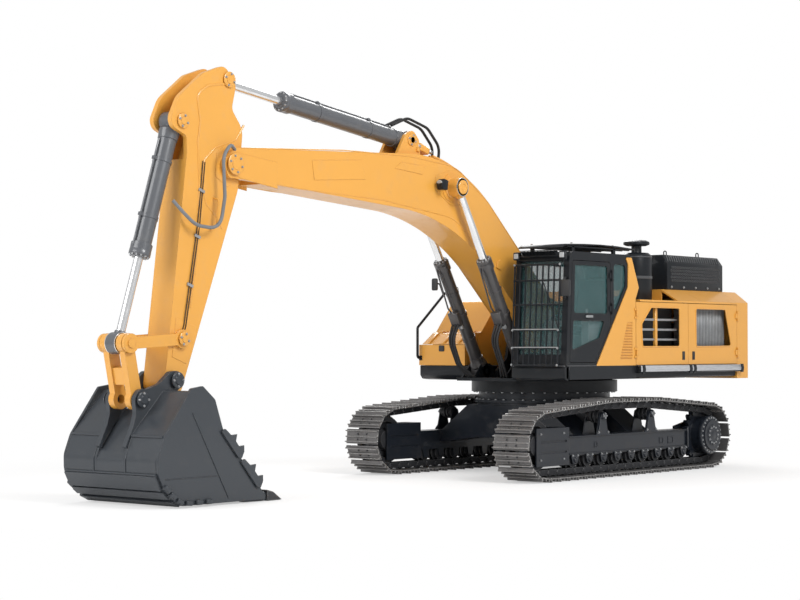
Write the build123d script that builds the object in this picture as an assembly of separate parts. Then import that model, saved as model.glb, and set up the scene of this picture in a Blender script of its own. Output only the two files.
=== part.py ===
from build123d import *

import os
from math import acos, atan2, cos, degrees, hypot, radians, sin, tan

# Crawler excavator of the 50-tonne class. Millimetres, +X forward, +Y left, +Z up.
# Everything is modelled about the swing axis on the ground, and the finished
# machine is moved along X so that the origin is in the middle of its footprint.

# ---- undercarriage -------------------------------------------------------
TRACK_LENGTH = 5420.0  # over the grousers
TRACK_GAUGE = 2700.0  # between the track centres
SHOE_WIDTH = 600.0
TRACK_PITCH = 216.0
PIN_RADIUS = 400.0  # track pins about the sprocket and the idler
SHOE_SEAT = 45.0  # pin line to the shoe's underside
SHOE_FACE = 60.0  # pin line to the shoe's outer face
GROUSER_TIP = 105.0  # pin line to the grouser's tip
LINK_DROP = 60.0  # pin line to the rail that runs on the rollers
RAIL_INNER = 52.0  # half the gap between the two rails of links
RAIL_WIDTH = 46.0
RUN_GAP = 0.3  # between the rails and what they run on
ROLLER_RADIUS = 105.0
ROLLER_SIDES = 16
ROLLER_COUNT = 9
ROLLER_ENDS = (-1560.0, 1330.0)  # first and last lower roller
CARRIER_RADIUS = 85.0
CARRIER_X = (620.0, -660.0)
CARRIER_PIN_LINE = 1022.0  # height of the track pins over the carrier rollers
FRAME_HALF = 125.0  # half the width of a track frame
FRAME_SKIN = 18.0
DRIVE_PLATE = 30.0
FRAME_BOTTOM = 330.0
FRAME_TOP = 610.0
FRAME_FRONT = 1470.0
FRAME_REAR = -1700.0
GUARD_BOTTOM = 210.0
GUARD_TOP = 740.0
GUARD_FRONT = 2250.0
IDLER_SIDES = 32
SPROCKET_TEETH = 23
HUB_RADIUS = 285.0
HUB_OUTER = 270.0  # hub cover beyond the track's centre

# ---- slewing ring and upper frame ----------------------------------------
RING_RADIUS = 1050.0
RING_BOTTOM = 1040.0
DRUM_RADIUS = 1100.0
DRUM_BOTTOM = 1200.0
RING_TOP = DRUM_BOTTOM - RUN_GAP
DECK_BOTTOM = 1370.0
DECK_PLATE = 45.0
DECK_TOP = 1590.0  # floor of the side decks
PANEL_FOOT = 1602.0
DECK_FRONT = 1530.0
SIDE_Y = 1500.0
WEB_INNER = 280.0  # inner face of the two long webs that hold the boom
WEB_THICK = 50.0
STEP_OUTER = 1560.0
STEP_FRONT = -250.0
STEP_REAR = -3250.0
PANEL_TOP = 2570.0
ROOF_TOP = 2750.0
ROOF_HALF = 1200.0
SKIN = 30.0
SEAM_FRONT = -230.0
SEAM_MIDDLE = -1690.0
SEAM_REAR = -3160.0
ROOF_FRONT = -1400.0
DECK_FRONT_EDGE = -345.0
TAIL_RADIUS = 3810.0
LIFT_HOLE = (-3480.0, 750.0)  # x, y of the counterweight's lifting threads
LIFT_RADIUS = 21.0
LIFT_DEPTH = 90.0

LID_HINGE = (834.0, 2097.0)
LID_HINGES_Y = (-1300.0, -760.0)

# ---- cab -----------------------------------------------------------------
CAB_RIGHT = 560.0
CAB_LEFT = SIDE_Y - 12
CAB_ROOF = 3220.0
CAB_WALL = 55.0
DOOR_GAP = 9.0
GLASS = 8.0

# ---- attachment: pins in side view (x, z) ---------------------------------
BOOM_FOOT = (150.0, 2050.0)
BOOM_ANGLE = 17.05
BOOM_LENGTH = 7060.0
BOOM_HALF = 270.0
ARM_ANGLE = -70.1  # from +X, arm pivot to bucket pin
ARM_LENGTH = 2820.0
ARM_HALF = 190.0
BOOM_CYL_BASE = (1060.0, 1510.0)
BOOM_CYL_Y = 393.0
BOOM_CYL_EYE = (2953.0, 1239.0)  # in the boom's frame
ARM_CYL_BASE = (3852.0, 1612.0)  # in the boom's frame
ARM_CYL_EYE = (-980.0, 376.0)  # in the arm's frame
BUCKET_CYL_BASE = (-169.0, 912.0)  # in the arm's frame
IDLER_PIN = (2310.0, 35.0)  # in the arm's frame
LINK_PIN = (2640.0, 799.0)  # in the arm's frame
BUCKET_LINK = (550.0, -220.0)  # from the bucket pin
PIN = 55.0
PIN_GAP = 0.3
EYE = 130.0
BUCKET_HALF = 825.0
BUCKET_SHELL = 32.0
BUCKET_SIDE = 36.0


def box(x, y, z):
    """A box from (low, high) pairs."""
    size = [high - low for low, high in (x, y, z)]
    middle = [(high + low) / 2 for low, high in (x, y, z)]
    return Pos(*middle) * Box(*size)


def side_plate(points, y, radius=0.0):
    """Extrude a closed side-view outline of (x, z[, fillet]) rows from y[0] to y[1]."""
    corners = [(row[0], row[1]) for row in points]
    fillets = [row[2] if len(row) > 2 else radius for row in points]
    with_plane = Plane(origin=(0, y[1], 0), x_dir=(1, 0, 0), z_dir=(0, -1, 0))
    outline = FilletPolyline(*corners, radius=fillets, close=True)
    return extrude(with_plane * make_face(outline), y[1] - y[0])


def pin_y(at, radius, y):
    """A cylinder along Y at side-view point at, from y[0] to y[1]."""
    middle = Pos(at[0], (y[0] + y[1]) / 2, at[1])
    return middle * Rot(90, 0, 0) * Cylinder(radius, y[1] - y[0])


def drum(steps, at, sides):
    """Coaxial prisms of (radius, y low, y high) along Y through side-view point at."""
    part = None
    for radius, low, high in steps:
        plane = Plane(origin=(at[0], high, at[1]), x_dir=(1, 0, 0), z_dir=(0, -1, 0))
        step = extrude(plane * RegularPolygon(radius, sides), high - low)
        part = step if part is None else part + step
    return part


def frame_at(origin, angle):
    """Location whose local X points up at angle in side view."""
    return Pos(origin[0], 0, origin[1]) * Rot(0, -angle, 0)


def point_in(origin, angle, at):
    """Side-view world point of a local point."""
    turn = radians(angle)
    x = origin[0] + at[0] * cos(turn) - at[1] * sin(turn)
    z = origin[1] + at[0] * sin(turn) + at[1] * cos(turn)
    return x, z


ARM_PIVOT = point_in(BOOM_FOOT, BOOM_ANGLE, (BOOM_LENGTH, 0))
BUCKET_PIN = point_in(ARM_PIVOT, ARM_ANGLE, (ARM_LENGTH, 0))
BOOM_PLACE = frame_at(BOOM_FOOT, BOOM_ANGLE)
ARM_PLACE = frame_at(ARM_PIVOT, ARM_ANGLE)
BUCKET_PLACE = frame_at(BUCKET_PIN, 0)

# ---- track loop ------------------------------------------------------------
WHEEL_X = TRACK_LENGTH / 2 - PIN_RADIUS - GROUSER_TIP
WHEEL_Z = PIN_RADIUS + GROUSER_TIP
# x, z, radius of the pin line where it turns, from the sprocket forwards over the top
TRACK_TURNS = (
    (-WHEEL_X, WHEEL_Z, PIN_RADIUS),
    (CARRIER_X[1], CARRIER_PIN_LINE - CARRIER_RADIUS - LINK_DROP, CARRIER_RADIUS + LINK_DROP),
    (CARRIER_X[0], CARRIER_PIN_LINE - CARRIER_RADIUS - LINK_DROP, CARRIER_RADIUS + LINK_DROP),
    (WHEEL_X, WHEEL_Z, PIN_RADIUS),
)


def track_stretches():
    """Straight runs and arcs of the pin line, clockwise from the sprocket's top."""
    runs = []
    count = len(TRACK_TURNS)
    for i in range(count):
        x0, z0, r0 = TRACK_TURNS[i]
        x1, z1, r1 = TRACK_TURNS[(i + 1) % count]
        gap = hypot(x1 - x0, z1 - z0)
        normal = atan2(z1 - z0, x1 - x0) + acos((r0 - r1) / gap)
        runs.append((x0, z0, r0, x1, z1, r1, normal))
    stretches = []
    for i, (x0, z0, r0, x1, z1, r1, normal) in enumerate(runs):
        start = (x0 + r0 * cos(normal), z0 + r0 * sin(normal))
        end = (x1 + r1 * cos(normal), z1 + r1 * sin(normal))
        length = hypot(end[0] - start[0], end[1] - start[1])
        stretches.append(("run", start, end, normal, length))
        turn = (normal - runs[(i + 1) % count][6]) % radians(360)
        stretches.append(("arc", (x1, z1), r1, normal, turn * r1))
    return stretches


def track_point(stretches, at):
    """Point and outward direction at a length along the pin line."""
    for kind, first, second, normal, length in stretches:
        if at <= length:
            if kind == "run":
                part = at / length
                x = first[0] + (second[0] - first[0]) * part
                z = first[1] + (second[1] - first[1]) * part
                return x, z, normal
            angle = normal - at / second
            return first[0] + second * cos(angle), first[1] + second * sin(angle), angle
        at -= length
    return track_point(stretches, at)


# along the shoe (share of the pitch), height over the pin line
SHOE_OUTLINE = (
    (-0.47, SHOE_FACE),
    (-0.39, GROUSER_TIP),
    (-0.30, SHOE_FACE),
    (0.28, SHOE_FACE),
    (0.37, GROUSER_TIP),
    (0.46, SHOE_FACE),
)


def hull_band(outer, inner, y):
    """Band between two offsets of the pin line, extruded in Y."""
    faces = []
    for offset_by in (outer, inner):
        circles = [Pos(x, z) * Circle(r + offset_by) for x, z, r in TRACK_TURNS]
        faces.append(make_hull([c.edge() for c in circles]))
    plane = Plane(origin=(0, y[1], 0), x_dir=(1, 0, 0), z_dir=(0, -1, 0))
    return extrude(plane * (faces[0] - faces[1]), y[1] - y[0])


def track():
    """One closed loop of shoes on two rails of links, centred on Y = 0."""
    stretches = track_stretches()
    total = sum(row[4] for row in stretches)
    shoes = round(total / TRACK_PITCH)
    pitch = total / shoes
    outline = []
    for i in range(shoes):
        x0, z0, _ = track_point(stretches, i * pitch)
        x1, z1, _ = track_point(stretches, ((i + 1) % shoes) * pitch)
        x, z = (x0 + x1) / 2, (z0 + z1) / 2
        out = atan2(z1 - z0, x1 - x0) + radians(90)
        for along, height in SHOE_OUTLINE:
            outline.append((
                x + height * cos(out) + along * pitch * sin(out),
                z + height * sin(out) - along * pitch * cos(out),
            ))
    inner = make_hull([(Pos(x, z) * Circle(r + SHOE_SEAT)).edge() for x, z, r in TRACK_TURNS])
    face = make_face(Polyline(*outline, close=True)) - inner
    half = SHOE_WIDTH / 2
    plane = Plane(origin=(0, half, 0), x_dir=(1, 0, 0), z_dir=(0, -1, 0))
    loop = extrude(plane * face, SHOE_WIDTH)
    for side in (-1, 1):
        low, high = sorted((side * RAIL_INNER, side * (RAIL_INNER + RAIL_WIDTH)))
        loop += hull_band(SHOE_SEAT + 0.5, -LINK_DROP, (low, high))
    return loop


ROLLER_Z = GROUSER_TIP + LINK_DROP + ROLLER_RADIUS + RUN_GAP
CARRIER_Z = CARRIER_PIN_LINE - LINK_DROP - CARRIER_RADIUS - RUN_GAP


def roller(at, tread, flange):
    """Flanged roller with its shaft, seated between the frame's side plates."""
    inside = FRAME_HALF - FRAME_SKIN
    edge = RAIL_INNER + RAIL_WIDTH + 4
    steps = ((35, -inside, inside), (tread, -edge, edge), (flange, 12 - RAIL_INNER, RAIL_INNER - 12))
    return drum(steps, at, ROLLER_SIDES)


def roller_places():
    gap = (ROLLER_ENDS[1] - ROLLER_ENDS[0]) / (ROLLER_COUNT - 1)
    return [(ROLLER_ENDS[0] + i * gap, ROLLER_Z) for i in range(ROLLER_COUNT)]


def track_rollers():
    parts = [roller(at, ROLLER_RADIUS, ROLLER_RADIUS + 25) for at in roller_places()]
    parts += [roller((x, CARRIER_Z), CARRIER_RADIUS, CARRIER_RADIUS + 18) for x in CARRIER_X]
    return parts


def track_frame():
    """Inverted channel with roller ears, carrier brackets, idler guard and drive flange."""
    outer = FRAME_HALF
    inner = FRAME_HALF - FRAME_SKIN
    body = box((FRAME_REAR, FRAME_FRONT), (-outer, outer), (FRAME_BOTTOM, FRAME_TOP))
    roof = ROLLER_Z + ROLLER_RADIUS + 40
    body -= box((FRAME_REAR - 1, FRAME_FRONT + 1), (-inner, inner), (FRAME_BOTTOM - 1, roof))
    for x, _ in roller_places():
        ear = ((x - 75, FRAME_BOTTOM + 5), (x - 50, ROLLER_Z - 60, 20), (x + 50, ROLLER_Z - 60, 20),
               (x + 75, FRAME_BOTTOM + 5))
        for side in (-1, 1):
            body += side_plate(ear, sorted((side * inner, side * outer)))
    for x in CARRIER_X:
        bracket = ((x - 150, FRAME_TOP - 5), (x - 60, CARRIER_Z + 50, 40), (x + 60, CARRIER_Z + 50, 40),
                   (x + 150, FRAME_TOP - 5))
        for side in (-1, 1):
            body += side_plate(bracket, sorted((side * inner, side * outer)))
    guard = box((FRAME_FRONT - 1, GUARD_FRONT), (-outer - 10, outer + 10), (GUARD_BOTTOM, GUARD_TOP))
    guard -= box((FRAME_FRONT + 150, GUARD_FRONT + 1), (-inner, inner), (GUARD_BOTTOM - 1, GUARD_TOP + 1))
    for z in (0.36, 0.64):
        height = GUARD_BOTTOM + (GUARD_TOP - GUARD_BOTTOM) * z
        for side in (-1, 1):
            y = sorted((side * (outer - 2), side * (outer + 11)))
            guard -= box((FRAME_FRONT + 60, GUARD_FRONT - 90), y, (height - 14, height + 14))
    body += guard
    rear = ((FRAME_REAR + 10, FRAME_BOTTOM + 40), (-WHEEL_X, WHEEL_Z - 240, 200),
            (-WHEEL_X - 240, WHEEL_Z, 150), (-WHEEL_X, WHEEL_Z + 240, 200), (FRAME_REAR + 10, FRAME_TOP + 40))
    body += side_plate(rear, (-outer - DRIVE_PLATE + FRAME_SKIN, -inner))
    return body


def idler():
    """Front idler with a centre flange between the rails and a hub to the guard's cheeks."""
    rim = PIN_RADIUS - LINK_DROP - RUN_GAP
    inside = FRAME_HALF - FRAME_SKIN
    steps = (
        (60, -inside, inside),
        (130, -95, 95),
        (rim - 60, -40, 40),
        (rim, -100, -40),
        (rim, 40, 100),
        (rim + 34, 12 - RAIL_INNER, RAIL_INNER - 12),
    )
    return drum(steps, (WHEEL_X, WHEEL_Z), IDLER_SIDES)


def sprocket():
    """Toothed wheel with the final drive's hub outboard and its motor housing inboard."""
    root = PIN_RADIUS - 42
    tip = PIN_RADIUS + 22
    outline = []
    for i in range(SPROCKET_TEETH):
        for share, radius in ((-0.42, root), (-0.16, tip), (0.16, tip), (0.42, root)):
            angle = radians(360 * (i + share) / SPROCKET_TEETH)
            outline.append((radius * cos(angle), radius * sin(angle)))
    half = RAIL_INNER - 12
    wheel = Plane(origin=(0, half, 0), x_dir=(1, 0, 0), z_dir=(0, -1, 0)) * make_face(
        Polyline(*outline, close=True)
    )
    toothed = Pos(-WHEEL_X, 0, WHEEL_Z) * extrude(wheel, 2 * half)
    steps = (
        (230, FRAME_SKIN - FRAME_HALF, half),
        (HUB_RADIUS, half - 2, HUB_OUTER - 40),
        (HUB_RADIUS - 55, HUB_OUTER - 41, HUB_OUTER),
    )
    return toothed + drum(steps, (-WHEEL_X, WHEEL_Z), IDLER_SIDES)


def on_tracks(part):
    """Copies of a track-centred part on the left and, mirrored, on the right."""
    left = Pos(0, TRACK_GAUGE / 2, 0) * part
    return left, mirror(left, about=Plane.XZ)


def car_body():
    """Centre box with four sloping legs to the track frames and a round seat for the ring."""
    reach = TRACK_GAUGE / 2 - FRAME_HALF
    leg = ((-reach, 430), (-reach, 600), (-700, 1010), (700, 1010), (reach, 600), (reach, 430),
           (550, 520), (-550, 520))
    plane = Plane(origin=(0, 0, 0), x_dir=(0, 1, 0), z_dir=(1, 0, 0))
    face = plane * make_face(Polyline(*leg, close=True))
    body = None
    for start in (420.0, -980.0):
        beam = Pos(start, 0, 0) * extrude(face, 560)
        body = beam if body is None else body + beam
    body += box((-500, 500), (-700, 700), (520, 1010))
    seat = Pos(0, 0, (1005 + RING_BOTTOM) / 2) * Cylinder(RING_RADIUS - 40, RING_BOTTOM - 1005)
    return body + seat


def slew_ring():
    """Fixed race with a flange, bolted on the car body."""
    middle = (RING_BOTTOM + 40 + RING_TOP) / 2
    ring = Pos(0, 0, RING_BOTTOM + 20) * Cylinder(RING_RADIUS, 40)
    ring += Pos(0, 0, middle) * Cylinder(RING_RADIUS - 60, RING_TOP - RING_BOTTOM - 40)
    bore = Pos(0, 0, (RING_BOTTOM + RING_TOP) / 2) * Cylinder(RING_RADIUS - 200, 400)
    return ring - bore


WEB_OUTLINE = (
    # x, z, fillet
    (800.0, DECK_BOTTOM + 5, 0.0),
    (800.0, 1520.0, 40.0),
    (560.0, 1700.0, 120.0),
    (440.0, 2230.0, 180.0),
    (60.0, 2370.0, 160.0),
    (-290.0, 2200.0, 150.0),
    (-700.0, 1800.0, 200.0),
    (SEAM_REAR, 1700.0, 0.0),
    (SEAM_REAR, DECK_BOTTOM + 5, 0.0),
)


def main_frame():
    """Belly plate, two long webs with the boom's ears, cylinder ears and the upper ring drum."""
    plate = (DECK_BOTTOM, DECK_BOTTOM + DECK_PLATE)
    frame = box((SEAM_REAR, 1450.0), (-540.0, 540.0), plate)
    for side in (-1, 1):
        web = side_plate(WEB_OUTLINE, sorted((side * WEB_INNER, side * (WEB_INNER + WEB_THICK))))
        frame += web
        for near in (WEB_INNER + 3, 487.0):
            x, z = BOOM_CYL_BASE
            ear = ((x - 200, plate[1] - 5), (x - 120, z + 110, 90), (x + 120, z + 110, 90),
                   (x + 330, plate[1] - 5))
            frame += side_plate(ear, sorted((side * near, side * (near + (16 if near < 400 else 30)))))
    for side in (-1, 1):
        x = BOOM_CYL_BASE[0]
        y = sorted((side * (WEB_INNER + 19.5), side * 486.5))
        frame -= box((x - 190, x + 190), y, (plate[0] - 1, plate[1] + 240))
    frame -= pin_y(BOOM_FOOT, PIN + 10, (-400, 400))
    for side in (-1, 1):
        frame += pin_y(BOOM_CYL_BASE, PIN, sorted((side * (WEB_INNER + 4), side * 530.0)))
    drum = Pos(0, 0, (DRUM_BOTTOM + DECK_BOTTOM + 2) / 2) * Cylinder(DRUM_RADIUS, DECK_BOTTOM + 2 - DRUM_BOTTOM)
    drum -= Pos(0, 0, DRUM_BOTTOM) * Cylinder(RING_RADIUS - 150, 800)
    frame += drum
    frame += box((SEAM_REAR, SEAM_REAR + 60), (-540, 540), (DECK_BOTTOM, 1700))
    return frame


def boom_foot_pin():
    """Pin that carries the boom between the two long webs."""
    return pin_y(BOOM_FOOT, PIN + 10, (-370, 370))


def side_decks():
    """Outer side beams with cross members to the belly plate, and the step along the left side."""
    decks = []
    for side in (-1, 1):
        beam = box((SEAM_REAR, DECK_FRONT), sorted((side * (SIDE_Y - 120), side * (SIDE_Y - 20))),
                   (DECK_BOTTOM + 40, DECK_TOP))
        for x in (1400.0, 500.0, -500.0, -1500.0, -2500.0, SEAM_REAR + 60):
            y = sorted((side * 540, side * (SIDE_Y - 119)))
            beam += box((x - 60, x + 60), y, (DECK_BOTTOM + 40, DECK_TOP - 19))
        floor = box((SEAM_REAR, DECK_FRONT), sorted((side * 545, side * (SIDE_Y - 20))), (DECK_TOP - 20, DECK_TOP))
        decks.append(beam + floor)
    step = box((STEP_REAR, STEP_FRONT), (SIDE_Y - 21, STEP_OUTER), (DECK_TOP - 110, DECK_TOP - 5))
    step -= box((STEP_REAR - 1, SEAM_REAR + 1), (SIDE_Y - 30, SIDE_Y + 2), (DECK_BOTTOM, DECK_TOP))
    step -= box((STEP_REAR + 30, STEP_FRONT - 30), (SIDE_Y - 20, STEP_OUTER - 12), (DECK_TOP - 111, DECK_TOP - 17))
    decks[1] += step
    return decks


def counterweight():
    """Cast weight whose back follows the tail radius, chamfered on top."""
    side_x = -(TAIL_RADIUS**2 - SIDE_Y**2) ** 0.5
    outline = Polyline((side_x, SIDE_Y), (SEAM_REAR - 3, SIDE_Y), (SEAM_REAR - 3, -SIDE_Y), (side_x, -SIDE_Y))
    outline += ThreePointArc((side_x, -SIDE_Y), (-TAIL_RADIUS, 0), (side_x, SIDE_Y))
    weight = extrude(Pos(0, 0, DECK_BOTTOM) * make_face(outline), ROOF_TOP - DECK_BOTTOM)
    for side in (-1, 1):
        corner = ((side * (SIDE_Y + 1), PANEL_TOP), (side * (SIDE_Y + 1), ROOF_TOP + 1),
                  (side * ROOF_HALF, ROOF_TOP + 1), (side * ROOF_HALF, ROOF_TOP))
        plane = Plane(origin=(-4200, 0, 0), x_dir=(0, 1, 0), z_dir=(1, 0, 0))
        weight -= extrude(plane * make_face(Polyline(*corner, close=True)), 1200)
    for side in (-1, 1):
        top = Pos(LIFT_HOLE[0], side * LIFT_HOLE[1], ROOF_TOP - LIFT_DEPTH / 2)
        weight -= top * Cylinder(LIFT_RADIUS, LIFT_DEPTH)
    for z in DOOR_HINGES:
        weight += hinge_pin(SEAM_REAR, SIDE_Y, z, -1)
        weight += hinge_pin(SEAM_REAR, -SIDE_Y, z, -1, -1)
    weight -= box((SEAM_REAR - 300, SEAM_REAR), (-545, 545), (DECK_BOTTOM - 1, 1705))
    return weight


def hood():
    """Roof shell over the engine bay, flat deck ahead of it, front wall and corner posts."""
    outer = ((SIDE_Y, PANEL_TOP), (ROOF_HALF, ROOF_TOP), (-ROOF_HALF, ROOF_TOP), (-SIDE_Y, PANEL_TOP),
             (-SIDE_Y, PANEL_TOP - SKIN), (-ROOF_HALF, ROOF_TOP - SKIN), (ROOF_HALF, ROOF_TOP - SKIN),
             (SIDE_Y, PANEL_TOP - SKIN))
    plane = Plane(origin=(SEAM_REAR, 0, 0), x_dir=(0, 1, 0), z_dir=(1, 0, 0))
    roof = extrude(plane * make_face(Polyline(*outer, close=True)), ROOF_FRONT - SEAM_REAR)
    roof += box((ROOF_FRONT - SKIN, ROOF_FRONT), (-ROOF_HALF, ROOF_HALF), (PANEL_TOP - SKIN, ROOF_TOP - 5))
    roof += box((ROOF_FRONT - 5, DECK_FRONT_EDGE), (-SIDE_Y, SIDE_Y), (PANEL_TOP - SKIN, PANEL_TOP))
    roof += box((DECK_FRONT_EDGE - SKIN, DECK_FRONT_EDGE), (WEB_INNER + WEB_THICK + 10, SIDE_Y - 60), (DECK_TOP, PANEL_TOP - SKIN + 5))
    for x, side in ((SEAM_MIDDLE, 1), (SEAM_REAR + 40, 1), (SEAM_REAR + 40, -1)):
        y = sorted((side * (SIDE_Y - 100), side * (SIDE_Y - 45)))
        roof += box((x - 30, x + 30), y, (DECK_TOP, PANEL_TOP - SKIN + 5))
    return roof


HINGE_PIN = 9.0
HINGE_SLEEVE = 12.0
HINGE_RISE = 15.0  # of the hinge's axis over the panel's face
HINGE_HALF = 40.0


def hinge_pin(x, face, z, side, outward=1):
    """Fixed half: two lugs on the neighbour's face, which lies on the given side of x, and the pin."""
    y = face + outward * HINGE_RISE
    part = Pos(x, y, z) * Cylinder(HINGE_PIN, 4 * HINGE_HALF)
    for way in (-1, 1):
        height = sorted((z + way * (HINGE_HALF + 4), z + way * 2 * HINGE_HALF))
        part += Pos(x, y, sum(height) / 2) * Cylinder(HINGE_SLEEVE, height[1] - height[0])
        part += box(sorted((x, x + side * 45)), sorted((face, y)), height)
    return part


def hinge_sleeve(x, face, z, side, outward=1):
    """Moving half: sleeve about the pin and a leaf on the door's face, on the given side of x."""
    y = face + outward * HINGE_RISE
    part = Pos(x, y, z) * Cylinder(HINGE_SLEEVE, 2 * HINGE_HALF)
    part += box(sorted((x, x + side * 60)), sorted((face, y)), (z - HINGE_HALF, z + HINGE_HALF))
    return part - Pos(x, y, z) * Cylinder(HINGE_PIN + PIN_GAP, 5 * HINGE_HALF)


DOOR_HINGES = (1780.0, 2360.0)
CAB_DOOR_HINGES = (2420.0, 2900.0)
CAB_HINGE_X = 404.0


def service_door(x, window, hinge):
    """Side door with a window; x is (rear, front) of its opening, hinge 0 front or 1 rear."""
    door = box((x[0] + 4, x[1] - 4), (SIDE_Y - 40, SIDE_Y), (PANEL_FOOT, PANEL_TOP - SKIN - 8))
    door -= box((x[0] + 60, x[1] - 60), (SIDE_Y - 41, SIDE_Y - 8), (PANEL_FOOT + 60, PANEL_TOP - 110))
    door -= side_plate(window, (SIDE_Y - 50, SIDE_Y + 10), 40.0)
    hinged, side = ((x[1], -1), (x[0], 1))[hinge]
    for z in DOOR_HINGES:
        door += hinge_sleeve(hinged, SIDE_Y, z, side)
    return door


FRONT_WINDOW = ((-640, 2460), (-1440, 2460), (-1440, 1870), (-400, 1870), (-380, 2210))
REAR_WINDOW = ((-1910, 2460), (-2800, 2460), (-2980, 1880), (-1920, 1870))


CAB_OUTLINE = (
    # x, z, fillet
    (1540.0, DECK_TOP, 20.0),
    (1450.0, CAB_ROOF, 110.0),
    (-110.0, CAB_ROOF, 90.0),
    (-320.0, 2740.0, 40.0),
    (SEAM_FRONT + 6, 2570.0, 20.0),
    (SEAM_FRONT + 6, DECK_TOP, 10.0),
)
# the yellow skin over the cab's rear left side, with louvres of growing length
SIDE_SKIN = (
    (800.0, DECK_TOP + 5, 0.0),
    (-20.0, 2740.0, 60.0),
    (-30.0, 3080.0, 60.0),
    (50.0, 3180.0, 30.0),
    (-120.0, 3180.0, 20.0),
    (-310.0, 2745.0, 30.0),
    (SEAM_FRONT + 8, 2575.0, 20.0),
    (SEAM_FRONT + 8, DECK_TOP + 5, 0.0),
)
LOUVRES = 14


def cab_front(z):
    """X of the cab's front face at a height."""
    low, high = CAB_OUTLINE[0], CAB_OUTLINE[1]
    return low[0] + (high[0] - low[0]) * (z - low[1]) / (high[1] - low[1])


CAB_DOOR = ((1462, 1640, 30), (1395, 3100, 60), (420, 3100, 60), (420, 2180, 120), (820, 1640, 40))


def cab_shell():
    """Hollow cab with windows and the door opening cut out."""
    shell = side_plate(CAB_OUTLINE, (CAB_RIGHT, CAB_LEFT))
    shell -= door_slab(inset(CAB_OUTLINE, CAB_WALL), (CAB_RIGHT + CAB_WALL, CAB_LEFT - CAB_WALL))
    shell -= side_plate(SIDE_SKIN, (CAB_LEFT - CAB_WALL / 2, CAB_LEFT + 1))
    shell -= side_plate(CAB_DOOR, (SIDE_Y - 100, SIDE_Y + 1))
    quarter = ((340, 3070, 60), (30, 3070, 60), (30, 2760, 40), (340, 2330, 40))
    shell -= side_plate(quarter, (SIDE_Y - 100, SIDE_Y + 1))
    right = ((1380, 1750, 60), (1300, 3060, 60), (80, 3060, 60), (20, 2300, 60), (700, 1750, 60))
    shell -= side_plate(right, (CAB_RIGHT - 1, CAB_RIGHT + 100))
    shell -= box((1300, 1700), (CAB_RIGHT + 90, SIDE_Y - 110), (1760, 3080))
    shell -= box((-400, 0), (CAB_RIGHT + 120, SIDE_Y - 160), (2620, 3050))
    for z in CAB_DOOR_HINGES:
        shell += hinge_pin(CAB_HINGE_X, CAB_LEFT, z, -1)
    return shell


def cab_glass():
    """Windscreen, rear, quarter and right-hand panes, seated in the walls."""
    right = ((1380, 1750, 60), (1300, 3060, 60), (80, 3060, 60), (20, 2300, 60), (700, 1750, 60))
    quarter = ((340, 3070, 60), (30, 3070, 60), (30, 2760, 40), (340, 2330, 40))
    middle = CAB_WALL / 2
    panes = [
        side_plate(right, (CAB_RIGHT + middle, CAB_RIGHT + middle + GLASS)),
        side_plate(quarter, (CAB_LEFT - middle, CAB_LEFT - middle + GLASS)),
    ]
    band = door_slab(inset(CAB_OUTLINE, middle), (0, 3000))
    band -= door_slab(inset(CAB_OUTLINE, middle + GLASS), (-1, 3001))
    panes.append(band & box((1300, 1700), (CAB_RIGHT + 90, SIDE_Y - 110), (1760, 3080)))
    panes.append(band & box((-400, 0), (CAB_RIGHT + 120, SIDE_Y - 160), (2620, 3050)))
    return panes


def cab_side_skin():
    """Yellow skin let into the cab's left wall, with louvre slots."""
    panel = side_plate(SIDE_SKIN, (CAB_LEFT - CAB_WALL / 2, SIDE_Y))
    for i in range(LOUVRES):
        z = 1700 + i * 40
        front = 190 - i * 14
        panel -= box((-130, front), (SIDE_Y - 8, SIDE_Y + 1), (z - 8, z + 8))
    for z in DOOR_HINGES:
        panel += hinge_pin(SEAM_FRONT, SIDE_Y, z, 1)
    return panel


def inset(rows, by):
    """Outline rows shrunk by a gap, by offsetting the face they bound."""
    corners = [(row[0], row[1]) for row in rows]
    face = make_face(FilletPolyline(*corners, radius=[row[2] for row in rows], close=True))
    return offset(face, -by)


def door_slab(face, y):
    plane = Plane(origin=(0, y[1], 0), x_dir=(1, 0, 0), z_dir=(0, -1, 0))
    return extrude(plane * face, y[1] - y[0])


def cab_door():
    """Door frame as thick as the wall, with an upper and a lower window."""
    y = (CAB_LEFT - CAB_WALL, SIDE_Y - 12)
    door = door_slab(inset(CAB_DOOR, DOOR_GAP), y)
    for window in DOOR_WINDOWS:
        door -= side_plate(window, (y[0] - 1, y[1] + 1))
    for z in CAB_DOOR_HINGES:
        door += hinge_sleeve(CAB_HINGE_X, CAB_LEFT, z, 1)
    handle = box((930, 1030), (y[1] - 1, y[1] + 10), (2270, 2330))
    return door + handle


DOOR_WINDOWS = (
    ((1350, 2340, 50), (1320, 3040, 50), (490, 3040, 50), (490, 2340, 50)),
    ((1395, 1810, 40), (1370, 2250, 40), (560, 2250, 40), (700, 1990, 60)),
)


def door_glass():
    y = (CAB_LEFT - CAB_WALL / 2, CAB_LEFT - CAB_WALL / 2 + GLASS)
    return [side_plate(window, y) for window in DOOR_WINDOWS]


def front_guard():
    """Bar grille ahead of the windscreen, on four stand-offs."""
    bars = None
    for i in range(7):
        y = 640 + i * 125
        bar = box((1600, 1620), (y - 12, y + 12), (1620, 3040))
        bars = bar if bars is None else bars + bar
    for z in (1640, 1850, 2105, 2465, 2810, 3020):
        bars += box((1596, 1624), (628, 1402), (z - 16, z + 16))
    for z in (1640, 3020):
        for y in (690, 1340):
            bars += box((cab_front(z - 14) + 0.3, 1600), (y - 20, y + 20), (z - 14, z + 14))
    return bars


GUARD_RISE = 130.0


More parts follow.
